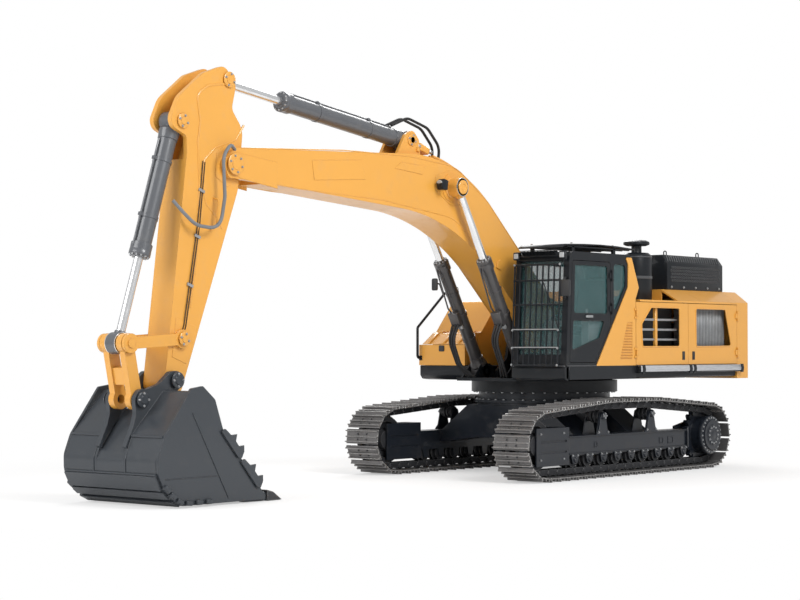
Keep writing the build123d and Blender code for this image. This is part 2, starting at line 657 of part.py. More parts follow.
def roof_guard():
    top = CAB_ROOF + GUARD_RISE
    plate = box((-410, 1330), (CAB_RIGHT + 20, 1360), (top - 25, top))
    for x in (100, 1150):
        for y in (CAB_RIGHT + 60, 1320):
            plate += box((x - 25, x + 25), (y - 25, y + 25), (CAB_ROOF, top - 24))
    return plate


def seat():
    cushion = box((250, 780), (780, 1280), (2050, 2170))
    back = side_plate(((190, 2100, 40), (330, 2120, 40), (250, 2860, 60), (110, 2840, 60)), (800, 1260))
    base = box((330, 700), (860, 1200), (DECK_TOP + CAB_WALL, 2051))
    return cushion + back + base


def console():
    """Side consoles with two levers, and travel pedals ahead of the seat."""
    parts = []
    for y in (700, 1350):
        body = box((350, 880), (y - 60, y + 60), (DECK_TOP + CAB_WALL, 2250))
        lever = Pos(830, y, 2330) * Cylinder(18, 165)
        parts.append(body + lever)
    for y in (960, 1100):
        pedal = box((1180, 1330), (y - 45, y + 45), (DECK_TOP + CAB_WALL, DECK_TOP + CAB_WALL + 40))
        parts.append(pedal + Pos(1210, y, DECK_TOP + CAB_WALL + 200) * Cylinder(14, 340))
    return parts


def engine():
    return box((-2900, -1850), (-520, 535), (DECK_BOTTOM + DECK_PLATE, 2250)) - box((-3000, -1700), (-331, -279), (1300, 1801)) - box((-3000, -1700), (279, 331), (1300, 1801))


def cooling_pack():
    return box((-2950, -1790), (1180, 1380), (DECK_TOP, 2480))


def grille_box():
    """Raised engine cover with a chamfered rim."""
    low = box((-3240, -1600), (-650, 1190), (ROOF_TOP, 3150))
    top = loft([
        Pos(-2420, 270, 3150) * Rectangle(1640, 1840),
        Pos(-2420, 270, 3230) * Rectangle(1480, 1680),
    ])
    return low + top


def air_cleaner():
    """Intake box in the recess with a mushroom pre-cleaner on its neck."""
    body = box((-1330, -600), (450, 1190), (PANEL_TOP, 3280))
    neck = Pos(-970, 900, 3360) * Cylinder(150, 160)
    cap = Pos(-970, 900, 3520) * Cylinder(300, 200)
    cap = chamfer(cap.edges().filter_by(GeomType.CIRCLE), 50)
    return body + neck + cap


def exhaust():
    pipe = Pos(-2300, -850, (ROOF_TOP + 3150) / 2) * Cylinder(85, 3150 - ROOF_TOP)
    return pipe


def right_body():
    outline = ((SEAM_MIDDLE + 4, DECK_TOP), (SEAM_MIDDLE + 4, PANEL_TOP - SKIN), (DECK_FRONT_EDGE + 4, PANEL_TOP - SKIN),
               (DECK_FRONT_EDGE + 5, PANEL_TOP), (330, PANEL_TOP, 60), (760, 2085, 60), (830, 2085), (830, DECK_TOP))
    body = side_plate(outline, (-SIDE_Y, -620))
    for y in LID_HINGES_Y:
        body += pin_y(LID_HINGE, HINGE_PIN, (y - 2 * HINGE_HALF, y + 2 * HINGE_HALF))
        for way in (-1, 1):
            span = sorted((y + way * (HINGE_HALF + 4), y + way * 2 * HINGE_HALF))
            body += box((LID_HINGE[0] - 40, LID_HINGE[0]), span, (2080, LID_HINGE[1] + HINGE_PIN))
    return body


def tool_box():
    body = box((835, 1160), (-SIDE_Y, -620), (DECK_TOP, 1900))
    return body - box((860, 1140), (-SIDE_Y + 25, -645), (DECK_TOP, 1901))


def tool_box_lid():
    lid = side_plate(((838, 1905), (838, 2080), (900, 2080, 60), (1160, 1905)), (-SIDE_Y + 60, -620))
    for y in LID_HINGES_Y:
        span = (y - HINGE_HALF, y + HINGE_HALF)
        lid += pin_y(LID_HINGE, HINGE_SLEEVE, span)
        lid += box((LID_HINGE[0], 895), span, (2079, LID_HINGE[1] + 5))
        lid -= pin_y(LID_HINGE, HINGE_PIN + PIN_GAP, (y - 60, y + 60))
    return lid


def handrails():
    """Right-hand rail up the front corner, on two feet."""
    y = -SIDE_Y + 25
    return FilletPolyline((1160.3, y, 1700), (1230, y, 1700), (1230, y, 2160), (560, y, 2700), (280, y, 2700),
                          (280, y, PANEL_TOP), radius=45)


def pump_door():
    door = box((SEAM_REAR + 4, SEAM_MIDDLE - 4), (-SIDE_Y, -SIDE_Y + 40), (PANEL_FOOT, PANEL_TOP - SKIN - 8))
    for z in DOOR_HINGES:
        door += hinge_sleeve(SEAM_REAR, -SIDE_Y, z, 1, -1)
    return door - box((SEAM_REAR + 60, SEAM_MIDDLE - 60), (-SIDE_Y + 8, -SIDE_Y + 41), (PANEL_FOOT + 60, PANEL_TOP - 110))


# ---- boom --------------------------------------------------------------
BOOM_OUTLINE = (
    # u, v, fillet in the boom's frame
    (-240.0, 284.0, 200.0),
    (2930.0, 1742.0, 2600.0),
    (7100.0, 200.0, 60.0),
    (7251.0, -40.0, 90.0),
    (7100.0, -190.0, 90.0),
    (5850.0, 130.0, 300.0),
    (2696.0, 871.0, 3600.0),
    (60.0, -315.0, 200.0),
    (-310.0, -120.0, 180.0),
)
FORK_ROOT = 6450.0
FORK_INNER = 200.0


PIPE_Y = (-150.0, -90.0, 90.0, 150.0)
PIPE_RADIUS = 21.0
PIPE_RISE = 62.0  # of the pipes' axis over the boom's top plate
PIPE_CLAMPS = (0.06, 0.35, 0.64, 0.95)
PIPE_START = 900.0
PIPE_SWEEP = 31.0  # degrees of the boom's bend that the pipes follow


def pipe_path():
    """Side-view path of the pipes: along the boom's rear slope and over its top bend."""
    (u0, v0, _), (u1, v1, radius), (u2, v2, _) = BOOM_OUTLINE[:3]
    rise_angle = atan2(v1 - v0, u1 - u0)
    turn = rise_angle - atan2(v2 - v1, u2 - u1)
    straight = hypot(u1 - u0, v1 - v0) - radius * tan(turn / 2)
    start, foot = [
        (
            u0 + along * cos(rise_angle) - PIPE_RISE * sin(rise_angle),
            v0 + along * sin(rise_angle) + PIPE_RISE * cos(rise_angle),
        )
        for along in (PIPE_START, straight)
    ]
    line = Line(start, foot)
    bend = JernArc(foot, line % 1, radius + PIPE_RISE, -PIPE_SWEEP)
    return Wire([line, bend])


def pipe_clamp(along):
    """Clamp block on the boom's top, as wide as the pipes, at a share of the pipes' path."""
    path = Plane.XZ * pipe_path()
    at = path @ along
    way = path % along
    angle = degrees(atan2(way.Z, way.X))
    half = max(PIPE_Y) + 35
    block = box((-35, 35), (-half, half), (-PIPE_RISE - 6, -PIPE_RADIUS - 2 * PIN_GAP))
    return Pos(at.X, 0, at.Z) * Rot(0, -angle, 0) * block


def boom():
    """Welded box boom with bosses at its pins and ears for the arm cylinder."""
    beam = side_plate(BOOM_OUTLINE, (-BOOM_HALF, BOOM_HALF))
    beam -= box((FORK_ROOT, 7400), (-FORK_INNER, FORK_INNER), (-500, 1200))
    u, v = ARM_CYL_BASE
    ear = ((u - 330, v - 330), (u - 150, v + 60, 90), (u + 20, v + 150, 100), (u + 150, v + 20, 100), (u + 260, v - 420))
    for side in (-1, 1):
        beam += side_plate(ear, sorted((side * 125, side * 175)))
    for side in (-1, 1):
        beam += pin_y(BOOM_CYL_EYE, 200.0, sorted((side * (BOOM_HALF - 1), side * (BOOM_HALF + 18))))
    beam -= pin_y((0, 0), PIN + 10 + PIN_GAP, (-400, 400))
    beam += pin_y((BOOM_LENGTH, 0), PIN + 10, (-BOOM_HALF - 25, BOOM_HALF + 25))
    beam += pin_y(ARM_CYL_BASE, PIN, (-200, 200))
    for along in PIPE_CLAMPS:
        beam += pipe_clamp(along)
    return BOOM_PLACE * beam


# ---- arm ---------------------------------------------------------------
ARM_OUTLINE = (
    # u, v, fillet in the arm's frame
    (-960.0, 235.0, 60.0),
    (-660.0, 205.0, 120.0),
    (-500.0, -60.0, 250.0),
    (238.0, -240.0, 500.0),
    (2960.0, -185.0, 110.0),
    (2960.0, 85.0, 100.0),
    (150.0, 715.0, 250.0),
    (-30.0, 790.0, 60.0),
    (-40.0, 1110.0, 130.0),
    (-420.0, 1075.0, 300.0),
    (-870.0, 800.0, 200.0),
    (-1120.0, 500.0, 130.0),
)
IDLER_INNER = 197.0
IDLER_OUTER = 237.0
LINK_INNER = 95.0
LINK_OUTER = 188.0
EAR_INNER = 196.0
EAR_OUTER = 262.0
HEAD_SLOT = ((-1400, 60), (-760, 200), (-520, 560), (230, 560), (230, 1400), (-1400, 1400))
HEAD_INNER = 125.0


def arm():
    """Box arm whose head is two plates that take both cylinders between them."""
    beam = side_plate(ARM_OUTLINE, (-ARM_HALF, ARM_HALF))
    beam -= side_plate(HEAD_SLOT, (-HEAD_INNER, HEAD_INNER))
    for side in (-1, 1):
        beam += pin_y(ARM_CYL_EYE, PIN, sorted((side * HEAD_INNER, side * (ARM_HALF + 12))))
    beam += pin_y(BUCKET_CYL_BASE, PIN, (-ARM_HALF - 12, ARM_HALF + 12))
    beam -= pin_y((0, 0), PIN + 10 + PIN_GAP, (-400, 400))
    beam += pin_y(IDLER_PIN, PIN, (-IDLER_OUTER - 15, IDLER_OUTER + 15))
    beam -= pin_y((ARM_LENGTH, 0), PIN + PIN_GAP, (-400, 400))
    return ARM_PLACE * beam


# ---- cylinders -----------------------------------------------------------
# kind: barrel radius, rod radius, gland from the base pin, half width of the eyes, travel out
CYLINDERS = {
    "boom": (92.5, 57.0, 1860.0, 90.0, 704.0),
    "arm": (115.0, 55.0, 2450.0, 95.0, 888.0),
    "bucket": (112.0, 55.0, 1715.0, 88.0, 603.0),
}
ROD_HELD = 100.0  # of rod left in the gland when it is furthest out
BORE_END = EYE + 60
GLAND_LENGTH = 140.0


def barrel(kind):
    """Barrel from its base pin at the origin along +X, with the gland and base eye."""
    radius, rod_radius, gland, half, _ = CYLINDERS[kind]
    lying = Rot(0, 90, 0)
    tube = Pos((gland + EYE) / 2, 0, 0) * lying * Cylinder(radius, gland - EYE)
    head = Pos(gland - GLAND_LENGTH / 2, 0, 0) * lying * Cylinder(radius + 18, GLAND_LENGTH)
    eye = pin_y((0, 0), EYE, (-half, half))
    neck = box((0, EYE + 20), (-half * 0.8, half * 0.8), (-radius * 0.9, radius * 0.9))
    bore_length = gland + 10 - BORE_END
    bore = Pos(BORE_END + bore_length / 2, 0, 0) * lying * Cylinder(rod_radius + PIN_GAP, bore_length)
    return tube + head + eye + neck - bore - pin_y((0, 0), PIN + PIN_GAP, (-half - 1, half + 1))


def rod(kind, length):
    """Rod from inside the barrel to its eye at length along +X."""
    _, rod_radius, gland, half, travel = CYLINDERS[kind]
    start = gland - ROD_HELD - travel
    shaft = Pos((start + length) / 2, 0, 0) * Rot(0, 90, 0) * Cylinder(rod_radius, length - start)
    return shaft + pin_y((length, 0), EYE, (-half, half))


def cylinder_parts(kind, base, eye, y=0.0):
    """Barrel and rod placed from a base pin to an eye in side view."""
    length = hypot(eye[0] - base[0], eye[1] - base[1])
    angle = degrees(atan2(eye[1] - base[1], eye[0] - base[0]))
    place = Pos(0, y, 0) * frame_at(base, angle)
    return place * barrel(kind), place * rod(kind, length)


# ---- links and bucket ------------------------------------------------------
def strap(a, b, end, waist, y, far_pin=None):
    """Link plate between two side-view points with round ends."""
    length = hypot(b[0] - a[0], b[1] - a[1])
    angle = degrees(atan2(b[1] - a[1], b[0] - a[0]))
    body = box((0, length), y, (-waist, waist))
    body += pin_y((0, 0), end, y) + pin_y((length, 0), end, y)
    body -= pin_y((0, 0), PIN + PIN_GAP, (-400, 400))
    if far_pin is None:
        body -= pin_y((length, 0), PIN + PIN_GAP, (-400, 400))
    else:
        body += pin_y((length, 0), PIN, far_pin)
    return frame_at(a, angle) * body


def idler_link():
    """Two side links from the arm to the bucket rod's pin."""
    start = point_in(ARM_PIVOT, ARM_ANGLE, IDLER_PIN)
    end = point_in(ARM_PIVOT, ARM_ANGLE, LINK_PIN)
    links = []
    for side in (-1, 1):
        y = sorted((side * IDLER_INNER, side * IDLER_OUTER))
        stub = sorted((side * (LINK_INNER + 5), side * (IDLER_OUTER + 15)))
        links.append(strap(start, end, 115.0, 70.0, y, stub))
    return links


def h_link():
    """Link to the bucket: two arms joined by a web."""
    start = point_in(ARM_PIVOT, ARM_ANGLE, LINK_PIN)
    end = (BUCKET_PIN[0] + BUCKET_LINK[0], BUCKET_PIN[1] + BUCKET_LINK[1])
    length = hypot(end[0] - start[0], end[1] - start[1])
    angle = degrees(atan2(end[1] - start[1], end[0] - start[0]))
    web = frame_at(start, angle) * box((length * 0.42, length * 0.72), (-100, 100), (-60, 60))
    link = web
    for side in (-1, 1):
        link += strap(start, end, 118.0, 80.0, sorted((side * LINK_INNER, side * LINK_OUTER)))
    return link


BUCKET_SIDES = (
    # side plates: x, z from the bucket pin, fillet
    (-150.0, -200.0, 30.0),
    (150.0, -60.0, 120.0),
    (420.0, -300.0, 150.0),
    (850.0, -880.0, 300.0),
    (800.0, -1250.0, 300.0),
    (430.0, -1440.0, 200.0),
    (-940.0, -1440.0, 10.0),
    (-940.0, -1390.0, 10.0),
    (-230.0, -620.0, 300.0),
)
BUCKET_BACK = (
    # outer face of the wrapped plate
    (-170.0, -262.0, 15.0),
    (330.0, -235.0, 150.0),
    (850.0, -890.0, 300.0),
    (800.0, -1250.0, 300.0),
    (430.0, -1440.0, 200.0),
    (-940.0, -1440.0, 10.0),
    (-940.0, -1390.0, 10.0),
    (-230.0, -620.0, 300.0),
)
BUCKET_HOLLOW = (
    (-190.0, -300.0, 0.0),
    (310.0, -270.0, 130.0),
    (815.0, -900.0, 270.0),
    (770.0, -1230.0, 270.0),
    (420.0, -1406.0, 170.0),
    (-930.0, -1406.0, 0.0),
    (-1300.0, -1300.0, 0.0),
    (-600.0, -300.0, 0.0),
)


def bucket():
    """Open bucket with side plates, ears, lip, wear strips and teeth."""
    inside = BUCKET_HALF - BUCKET_SIDE
    shell = side_plate(BUCKET_BACK, (-inside, inside))
    shell -= side_plate(BUCKET_HOLLOW, (-inside - 1, inside + 1))
    for side in (-1, 1):
        shell += side_plate(BUCKET_SIDES, sorted((side * inside, side * BUCKET_HALF)))
    ear = ((-160, -255), (-150, 60, 130), (60, 160, 130), (560, -60, 120), (720, -230, 100), (640, -640), (300, -250))
    for side in (-1, 1):
        shell += side_plate(ear, sorted((side * EAR_INNER, side * EAR_OUTER)))
        shell += pin_y(BUCKET_LINK, PIN, sorted((side * EAR_INNER, side * (EAR_OUTER + 30))))
    shell += pin_y((0, 0), PIN, (-EAR_OUTER - 30, EAR_OUTER + 30))
    tooth = ((-700, -1440), (-700, -1400), (-960, -1370), (-1260, -1462), (-960, -1455))
    for i in range(5):
        y = -BUCKET_HALF + 90 + i * (2 * BUCKET_HALF - 180) / 4
        shell += side_plate(tooth, (y - 70, y + 70))
    strip = ((-820, -1434), (-820, -1450), (-700, -1466), (380, -1466), (430, -1434))
    for y in (-620, -210, 210, 620):
        shell += side_plate(strip, (y - 60, y + 60))
    return BUCKET_PLACE * shell


def tube_along(path, radius):
    """Sweep an eight-sided section along a path."""
    start = path @ 0
    section = Plane(origin=start, z_dir=path % 0) * RegularPolygon(radius, 8)
    return sweep(section, path=path)


def boom_pipes():
    """Steel lines along the boom's top, in the clamps."""
    runs = [Plane.XZ.offset(-y) * pipe_path() for y in PIPE_Y]
    return BOOM_PLACE * Compound([solid for run in runs for solid in tube_along(run, PIPE_RADIUS).solids()])


def build():
    """Every node by name, about the swing axis."""
    nodes = {"car_body": car_body(), "slew_ring": slew_ring()}
    for name, part in (("track", track()), ("track_frame", track_frame())):
        nodes[name + "_left"], nodes[name + "_right"] = on_tracks(part)
    for name, parts in (("sprockets", [sprocket()]), ("idlers", [idler()]), ("track_rollers", track_rollers())):
        solids = [copy for part in parts for copy in on_tracks(part)]
        nodes[name] = Compound(solids)
    nodes["main_frame"] = main_frame()
    nodes["boom_foot_pin"] = boom_foot_pin()
    nodes["side_decks"] = Compound(side_decks())
    nodes["counterweight"] = counterweight()
    nodes["hood"] = hood()
    nodes["cab_side_skin"] = cab_side_skin()
    nodes["service_door_front"] = service_door((SEAM_MIDDLE, SEAM_FRONT), FRONT_WINDOW, 0)
    nodes["service_door_rear"] = service_door((SEAM_REAR, SEAM_MIDDLE), REAR_WINDOW, 1)
    nodes["pump_door"] = pump_door()
    nodes["cab_shell"] = cab_shell()
    nodes["cab_glass"] = Compound(cab_glass())
    nodes["cab_door"] = cab_door()
    nodes["cab_door_glass"] = Compound(door_glass())
    nodes["front_guard"] = front_guard()
    nodes["roof_guard"] = roof_guard()
    nodes["seat"] = seat()
    nodes["console"] = Compound(console())
    nodes["engine"] = engine()
    nodes["cooling_pack"] = cooling_pack()
    nodes["grille_box"] = grille_box()
    nodes["air_cleaner"] = air_cleaner()
    nodes["exhaust"] = exhaust()
    nodes["right_body"] = right_body()
    nodes["tool_box"] = tool_box()
    nodes["tool_box_lid"] = tool_box_lid()
    nodes["handrail"] = tube_along(handrails(), 20)
    nodes["boom"] = boom()
    nodes["boom_pipes"] = boom_pipes()
    nodes["arm"] = arm()
    nodes["idler_link"] = Compound(idler_link())
    nodes["h_link"] = h_link()
    nodes["bucket"] = bucket()
    eye = point_in(BOOM_FOOT, BOOM_ANGLE, BOOM_CYL_EYE)
    for side, y in (("left", BOOM_CYL_Y), ("right", -BOOM_CYL_Y)):
        parts = cylinder_parts("boom", BOOM_CYL_BASE, eye, y)
        nodes["boom_barrel_" + side], nodes["boom_rod_" + side] = parts
    base = point_in(BOOM_FOOT, BOOM_ANGLE, ARM_CYL_BASE)
    eye = point_in(ARM_PIVOT, ARM_ANGLE, ARM_CYL_EYE)
    nodes["arm_barrel"], nodes["arm_rod"] = cylinder_parts("arm", base, eye)
    base = point_in(ARM_PIVOT, ARM_ANGLE, BUCKET_CYL_BASE)
    eye = point_in(ARM_PIVOT, ARM_ANGLE, LINK_PIN)
    nodes["bucket_barrel"], nodes["bucket_rod"] = cylinder_parts("bucket", base, eye)
    return nodes


def footprint_shift(nodes):
    """Move along X that puts the origin in the middle of the machine's length."""
    boxes = [part.bounding_box() for part in nodes.values()]
    return -(min(b.min.X for b in boxes) + max(b.max.X for b in boxes)) / 2


def main():
    os.makedirs("parts", exist_ok=True)
    nodes = build()
    shift = footprint_shift(nodes)
    print("swing axis at x", round(shift, 3))
    for name, part in nodes.items():
        solids = [Pos(shift, 0, 0) * solid for solid in part.solids()]
        export_step(Compound(solids), "parts/" + name + ".step")


if __name__ == "__main__":
    main()
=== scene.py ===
"""Looks of a crawler excavator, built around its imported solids."""

from __future__ import annotations

import logging
import math
from dataclasses import dataclass
from enum import Enum
from typing import Iterable, Sequence

import bpy
from mathutils import Matrix, Vector

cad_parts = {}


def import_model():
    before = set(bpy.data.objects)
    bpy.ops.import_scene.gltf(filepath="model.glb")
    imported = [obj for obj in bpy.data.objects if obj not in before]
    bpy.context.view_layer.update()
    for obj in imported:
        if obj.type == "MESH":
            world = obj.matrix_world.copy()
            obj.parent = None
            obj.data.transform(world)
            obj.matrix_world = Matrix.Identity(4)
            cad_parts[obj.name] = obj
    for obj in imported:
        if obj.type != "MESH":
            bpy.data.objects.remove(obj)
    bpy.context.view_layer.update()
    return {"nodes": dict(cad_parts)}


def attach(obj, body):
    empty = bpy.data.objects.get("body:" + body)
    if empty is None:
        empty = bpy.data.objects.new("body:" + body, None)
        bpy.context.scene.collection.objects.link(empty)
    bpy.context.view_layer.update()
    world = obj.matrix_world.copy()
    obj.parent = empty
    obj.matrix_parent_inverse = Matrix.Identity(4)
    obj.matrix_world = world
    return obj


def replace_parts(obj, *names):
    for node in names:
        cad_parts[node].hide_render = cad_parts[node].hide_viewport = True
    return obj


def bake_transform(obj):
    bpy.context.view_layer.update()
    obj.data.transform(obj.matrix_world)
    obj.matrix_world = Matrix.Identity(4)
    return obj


log = logging.getLogger("excavator")

Point = Sequence[float]


# ---------------------------------------------------------------- shader tools


class Socket:
    """A shader output that can be used in Python sums and products."""

    def __init__(self, graph: "Graph", link: bpy.types.NodeSocket) -> None:
        """Keep the graph that the output belongs to.

        Args:
            graph: the material's graph.
            link: the output itself.
        """
        self.graph = graph
        self.link = link

    def _math(self, operation: str, *values: "Socket | float") -> "Socket":
        """Return the output of a Math node on this output and the given values."""
        return self.graph.node("ShaderNodeMath", {"operation": operation}, *values)

    def __add__(self, other: "Socket | float") -> "Socket":
        """Return self + other."""
        return self._math("ADD", self, other)

    def __radd__(self, other: float) -> "Socket":
        """Return other + self."""
        return self._math("ADD", other, self)

    def __sub__(self, other: "Socket | float") -> "Socket":
        """Return self - other."""
        return self._math("SUBTRACT", self, other)

    def __rsub__(self, other: float) -> "Socket":
        """Return other - self."""
        return self._math("SUBTRACT", other, self)

    def __mul__(self, other: "Socket | float") -> "Socket":
        """Return self * other."""
        return self._math("MULTIPLY", self, other)

    def clamp(self) -> "Socket":
        """Return self held between 0 and 1."""
        return self.graph.node("ShaderNodeClamp", {}, self)

    def ramp(self, low: float, high: float) -> "Socket":
        """Return 0 below low, 1 above high, and a smooth rise between.

        Args:
            low: where the rise starts.
            high: where it ends.

        Returns:
            The ramped output.
        """
        settings = {"interpolation_type": "SMOOTHSTEP"}
        return self.graph.node("ShaderNodeMapRange", settings, self, low, high, 0.0, 1.0)


class Graph:
    """The node tree of one material, with a single call that adds any node."""

    def __init__(self, name: str) -> None:
        """Start an empty node material.

        Args:
            name: the material's name.
        """
        self.material = bpy.data.materials.new(name)
        self.material.use_nodes = True
        self.tree = self.material.node_tree
        self.tree.nodes.clear()

    def node(self, kind: str, settings: dict[str, object],
             *values: object, out: int | str = 0, **named: object) -> Socket:
        """Add a node, set it up and feed its sockets.

        Args:
            kind: the node's type.
            settings: properties that are set first; "stops" fills a colour ramp.
            *values: values or outputs for the first sockets, in order; None skips one.
            out: the output to return, by place or name.
            **named: values or outputs by socket name, with _ for a space.

        Returns:
            The chosen output.
        """
        made = self.tree.nodes.new(kind)
        for key, value in settings.items():
            if key == "stops":
                self._fill_ramp(made, value)
            else:
                setattr(made, key, value)
        inputs = [s for s in made.inputs if s.enabled]
        for socket, value in zip(inputs, values):
            self._feed(socket, value)
        for key, value in named.items():
            wanted = key.replace("_", " ")
            socket = next(s for s in made.inputs if s.enabled and s.name == wanted)
            self._feed(socket, value)
        outputs = [s for s in made.outputs if s.enabled]
        found = outputs[out] if isinstance(out, int) else made.outputs[out]
        return Socket(self, found)

    def _fill_ramp(self, made: bpy.types.Node, stops: Sequence[tuple[float, Sequence[float]]]) -> None:
        """Set a colour ramp's stops.

        Args:
            made: the ramp's node.
            stops: (place, colour) rows.
        """
        ramp = made.color_ramp
        while len(ramp.elements) < len(stops):
            ramp.elements.new(1.0)
        for element, (at, colour) in zip(ramp.elements, stops):
            element.position = at
            element.color = (*colour, 1.0)

    def _feed(self, socket: bpy.types.NodeSocket, value: object) -> None:
        """Link an output to a socket, or set the socket's value.

        Args:
            socket: the input.
            value: an output, a number, a vector or a colour.
        """
        if value is None:
            return
        if isinstance(value, Socket):
            self.tree.links.new(value.link, socket)
            return
        if socket.type == "RGBA" and isinstance(value, (tuple, list)) and len(value) == 3:
            value = (*value, 1.0)
        socket.default_value = value

    def place(self) -> Socket:
        """Return the Object coordinates."""
        return self.node("ShaderNodeTexCoord", {}, out="Object")

    def noise(self, scale: float, detail: float = 3.0,
              stretch: Point = (1, 1, 1), roughness: float = 0.55) -> Socket:
        """Return a noise on Object coordinates.

        Args:
            scale: waves a metre.
            detail: octaves.
            stretch: scale on each axis.
            roughness: share of the finer octaves.

        Returns:
            The noise's value, about 0.5 on average.
        """
        at = self.node("ShaderNodeVectorMath", {"operation": "MULTIPLY"}, self.place(), tuple(stretch))
        return self.node("ShaderNodeTexNoise", {}, at, Scale=scale, Detail=detail, Roughness=roughness)

    def mix(self, share: Socket | float, first: object, second: object) -> Socket:
        """Return a colour between two.

        Args:
            share: 0 for the first, 1 for the second.
            first: a colour or an output.
            second: a colour or an output.

        Returns:
            The mixed colour.
        """
        return self.node("ShaderNodeMix", {"data_type": "RGBA"}, share, first, second)

    def edges(self, radius: float) -> Socket:
        """Return 1 near the model's edges and 0 on its flats.

        Args:
            radius: how far the edge reaches, in metres.

        Returns:
            The mask.
        """
        rounded = self.node("ShaderNodeBevel", {"samples": 4}, radius)
        flat = self.node("ShaderNodeNewGeometry", {}, out="Normal")
        match = self.node("ShaderNodeVectorMath", {"operation": "DOT_PRODUCT"},
                          rounded, flat, out="Value")
        return (1.0 - match).ramp(0.02, 0.2)

    def bump(self, height: Socket, strength: float, distance: float) -> Socket:
        """Return a bumped normal.

        Args:
            height: the height map.
            strength: the bump's strength.
            distance: its depth in metres.

        Returns:
            The normal.
        """
        return self.node("ShaderNodeBump", {}, Strength=strength, Distance=distance, Height=height)

    def surface(self, **sockets: object) -> bpy.types.Material:
        """Close the graph with a Principled shader.

        Args:
            **sockets: its sockets by name, with _ for a space.

        Returns:
            The finished material.
        """
        self.output(self.node("ShaderNodeBsdfPrincipled", {}, **sockets))
        return self.material

    def output(self, shader: Socket) -> None:
        """Link a shader to the material's output."""
        end = self.tree.nodes.new("ShaderNodeOutputMaterial")
        self.tree.links.new(shader.link, end.inputs["Surface"])


def srgb(red: int, green: int, blue: int) -> tuple[float, float, float]:
    """Return a linear colour from its screen values, 0 to 255.

    Args:
        red: 0 to 255.
        green: 0 to 255.
        blue: 0 to 255.

    Returns:
        The linear colour.
    """
    out = []
    for value in (red, green, blue):
        share = value / 255
        out.append(share / 12.92 if share <= 0.04045 else ((share + 0.055) / 1.055) ** 2.4)
    return (out[0], out[1], out[2])


# -------------------------------------------------------------------- finishes


@dataclass(frozen=True)
class Paint:
    """Sprayed paint: slight waves, dust in random patches, and worn edges."""

    name: str
    colour: tuple[float, float, float]
    primer: tuple[float, float, float]
    roughness: float = 0.34
    coat: float = 0.35
    dust: float = 0.10
    edge_radius: float = 0.012
    wear: float = 0.35
    metallic: float = 0.0
    gloss: float = 0.5

    def build(self) -> bpy.types.Material:
        """Return the material.

        Returns:
            The material.
        """
        graph = Graph(self.name)
        cloud = graph.noise(0.55, 3.0)
        grime = graph.noise(5.0, 6.0, roughness=0.65).ramp(0.50, 0.78)
        shade = graph.mix(cloud.ramp(0.35, 0.7) * 0.10, self.colour, tuple(c * 0.72 for c in self.colour))
        dusty = graph.mix(grime * self.dust, shade, (0.36, 0.31, 0.25))
        edge = graph.edges(self.edge_radius)
        chips = (edge * graph.noise(38.0, 5.0, roughness=0.7).ramp(0.5, 0.62) * self.wear).clamp()
        colour = graph.mix(chips, dusty, self.primer)
        roughness = (self.roughness + grime * 0.22 + chips * 0.2 + cloud * 0.06).clamp()
        waves = graph.noise(320.0, 2.0) * 0.6 + graph.noise(46.0, 3.0) * 0.4
        rounded = graph.node("ShaderNodeBevel", {"samples": 4}, self.edge_radius * 0.7)
        normal = graph.node("ShaderNodeBump", {}, Strength=0.05,
                            Distance=0.002, Height=waves, Normal=rounded)
        return graph.surface(Base_Color=colour, Roughness=roughness, Normal=normal,
                             Coat_Weight=self.coat, Metallic=self.metallic, Specular_IOR_Level=self.gloss)


@dataclass(frozen=True)
class BareSteel:
    """Cast or rolled steel: mottled, with worn bright edges."""

    name: str
    colour: tuple[float, float, float]
    bright: tuple[float, float, float]
    roughness: float = 0.5
    metallic: float = 0.55
    grain: float = 60.0
    edge_radius: float = 0.010
    wear: float = 0.8

    def build(self) -> bpy.types.Material:
        """Return the material.

        Returns:
            The material.
        """
        graph = Graph(self.name)
        blotch = graph.noise(7.0, 6.0, roughness=0.65).ramp(0.35, 0.72)
        speck = graph.noise(self.grain, 4.0)
        edge = graph.edges(self.edge_radius)
        worn = (edge * self.wear * (0.5 + speck)).clamp()
        dark = graph.mix(blotch * 0.5, self.colour, tuple(c * 0.55 for c in self.colour))
        colour = graph.mix(worn, dark, self.bright)
        roughness = (self.roughness + blotch * 0.16 - worn * 0.2 + (speck - 0.5) * 0.12).clamp()
        normal = graph.bump(speck, 0.16, 0.002)
        return graph.surface(Base_Color=colour, Roughness=roughness,
                             Normal=normal, Metallic=self.metallic)


@dataclass(frozen=True)
class Chrome:
    """Polished rod with faint turning marks and an oil film."""

    name: str
    colour: tuple[float, float, float] = (0.78, 0.79, 0.80)
    roughness: float = 0.16

    def build(self) -> bpy.types.Material:
        """Return the material.

        Returns:
            The material.
        """
        graph = Graph(self.name)
        film = graph.noise(4.0, 3.0).ramp(0.4, 0.7)
        marks = graph.noise(240.0, 2.0)
        colour = graph.mix(film * 0.25, self.colour, (0.55, 0.55, 0.56))
        return graph.surface(Base_Color=colour, Metallic=0.9,
                             Roughness=self.roughness + film * 0.1 + marks * 0.04)


@dataclass(frozen=True)
class Moulded:
    """Moulded plastic or rubber with a fine leather grain."""

    name: str
    colour: tuple[float, float, float]
    roughness: float = 0.55
    grain: float = 260.0
    depth: float = 0.12

    def build(self) -> bpy.types.Material:
        """Return the material.

        Returns:
            The material.
        """
        graph = Graph(self.name)
        tone = graph.noise(2.2, 4.0).ramp(0.35, 0.7)
        cells = graph.node("ShaderNodeTexVoronoi", {}, graph.place(), Scale=self.grain)
        colour = graph.mix(tone * 0.25, self.colour, tuple(c * 0.6 + 0.01 for c in self.colour))
        roughness = (self.roughness + tone * 0.12).clamp()
        return graph.surface(Base_Color=colour, Roughness=roughness,
                             Normal=graph.bump(cells, self.depth, 0.001))


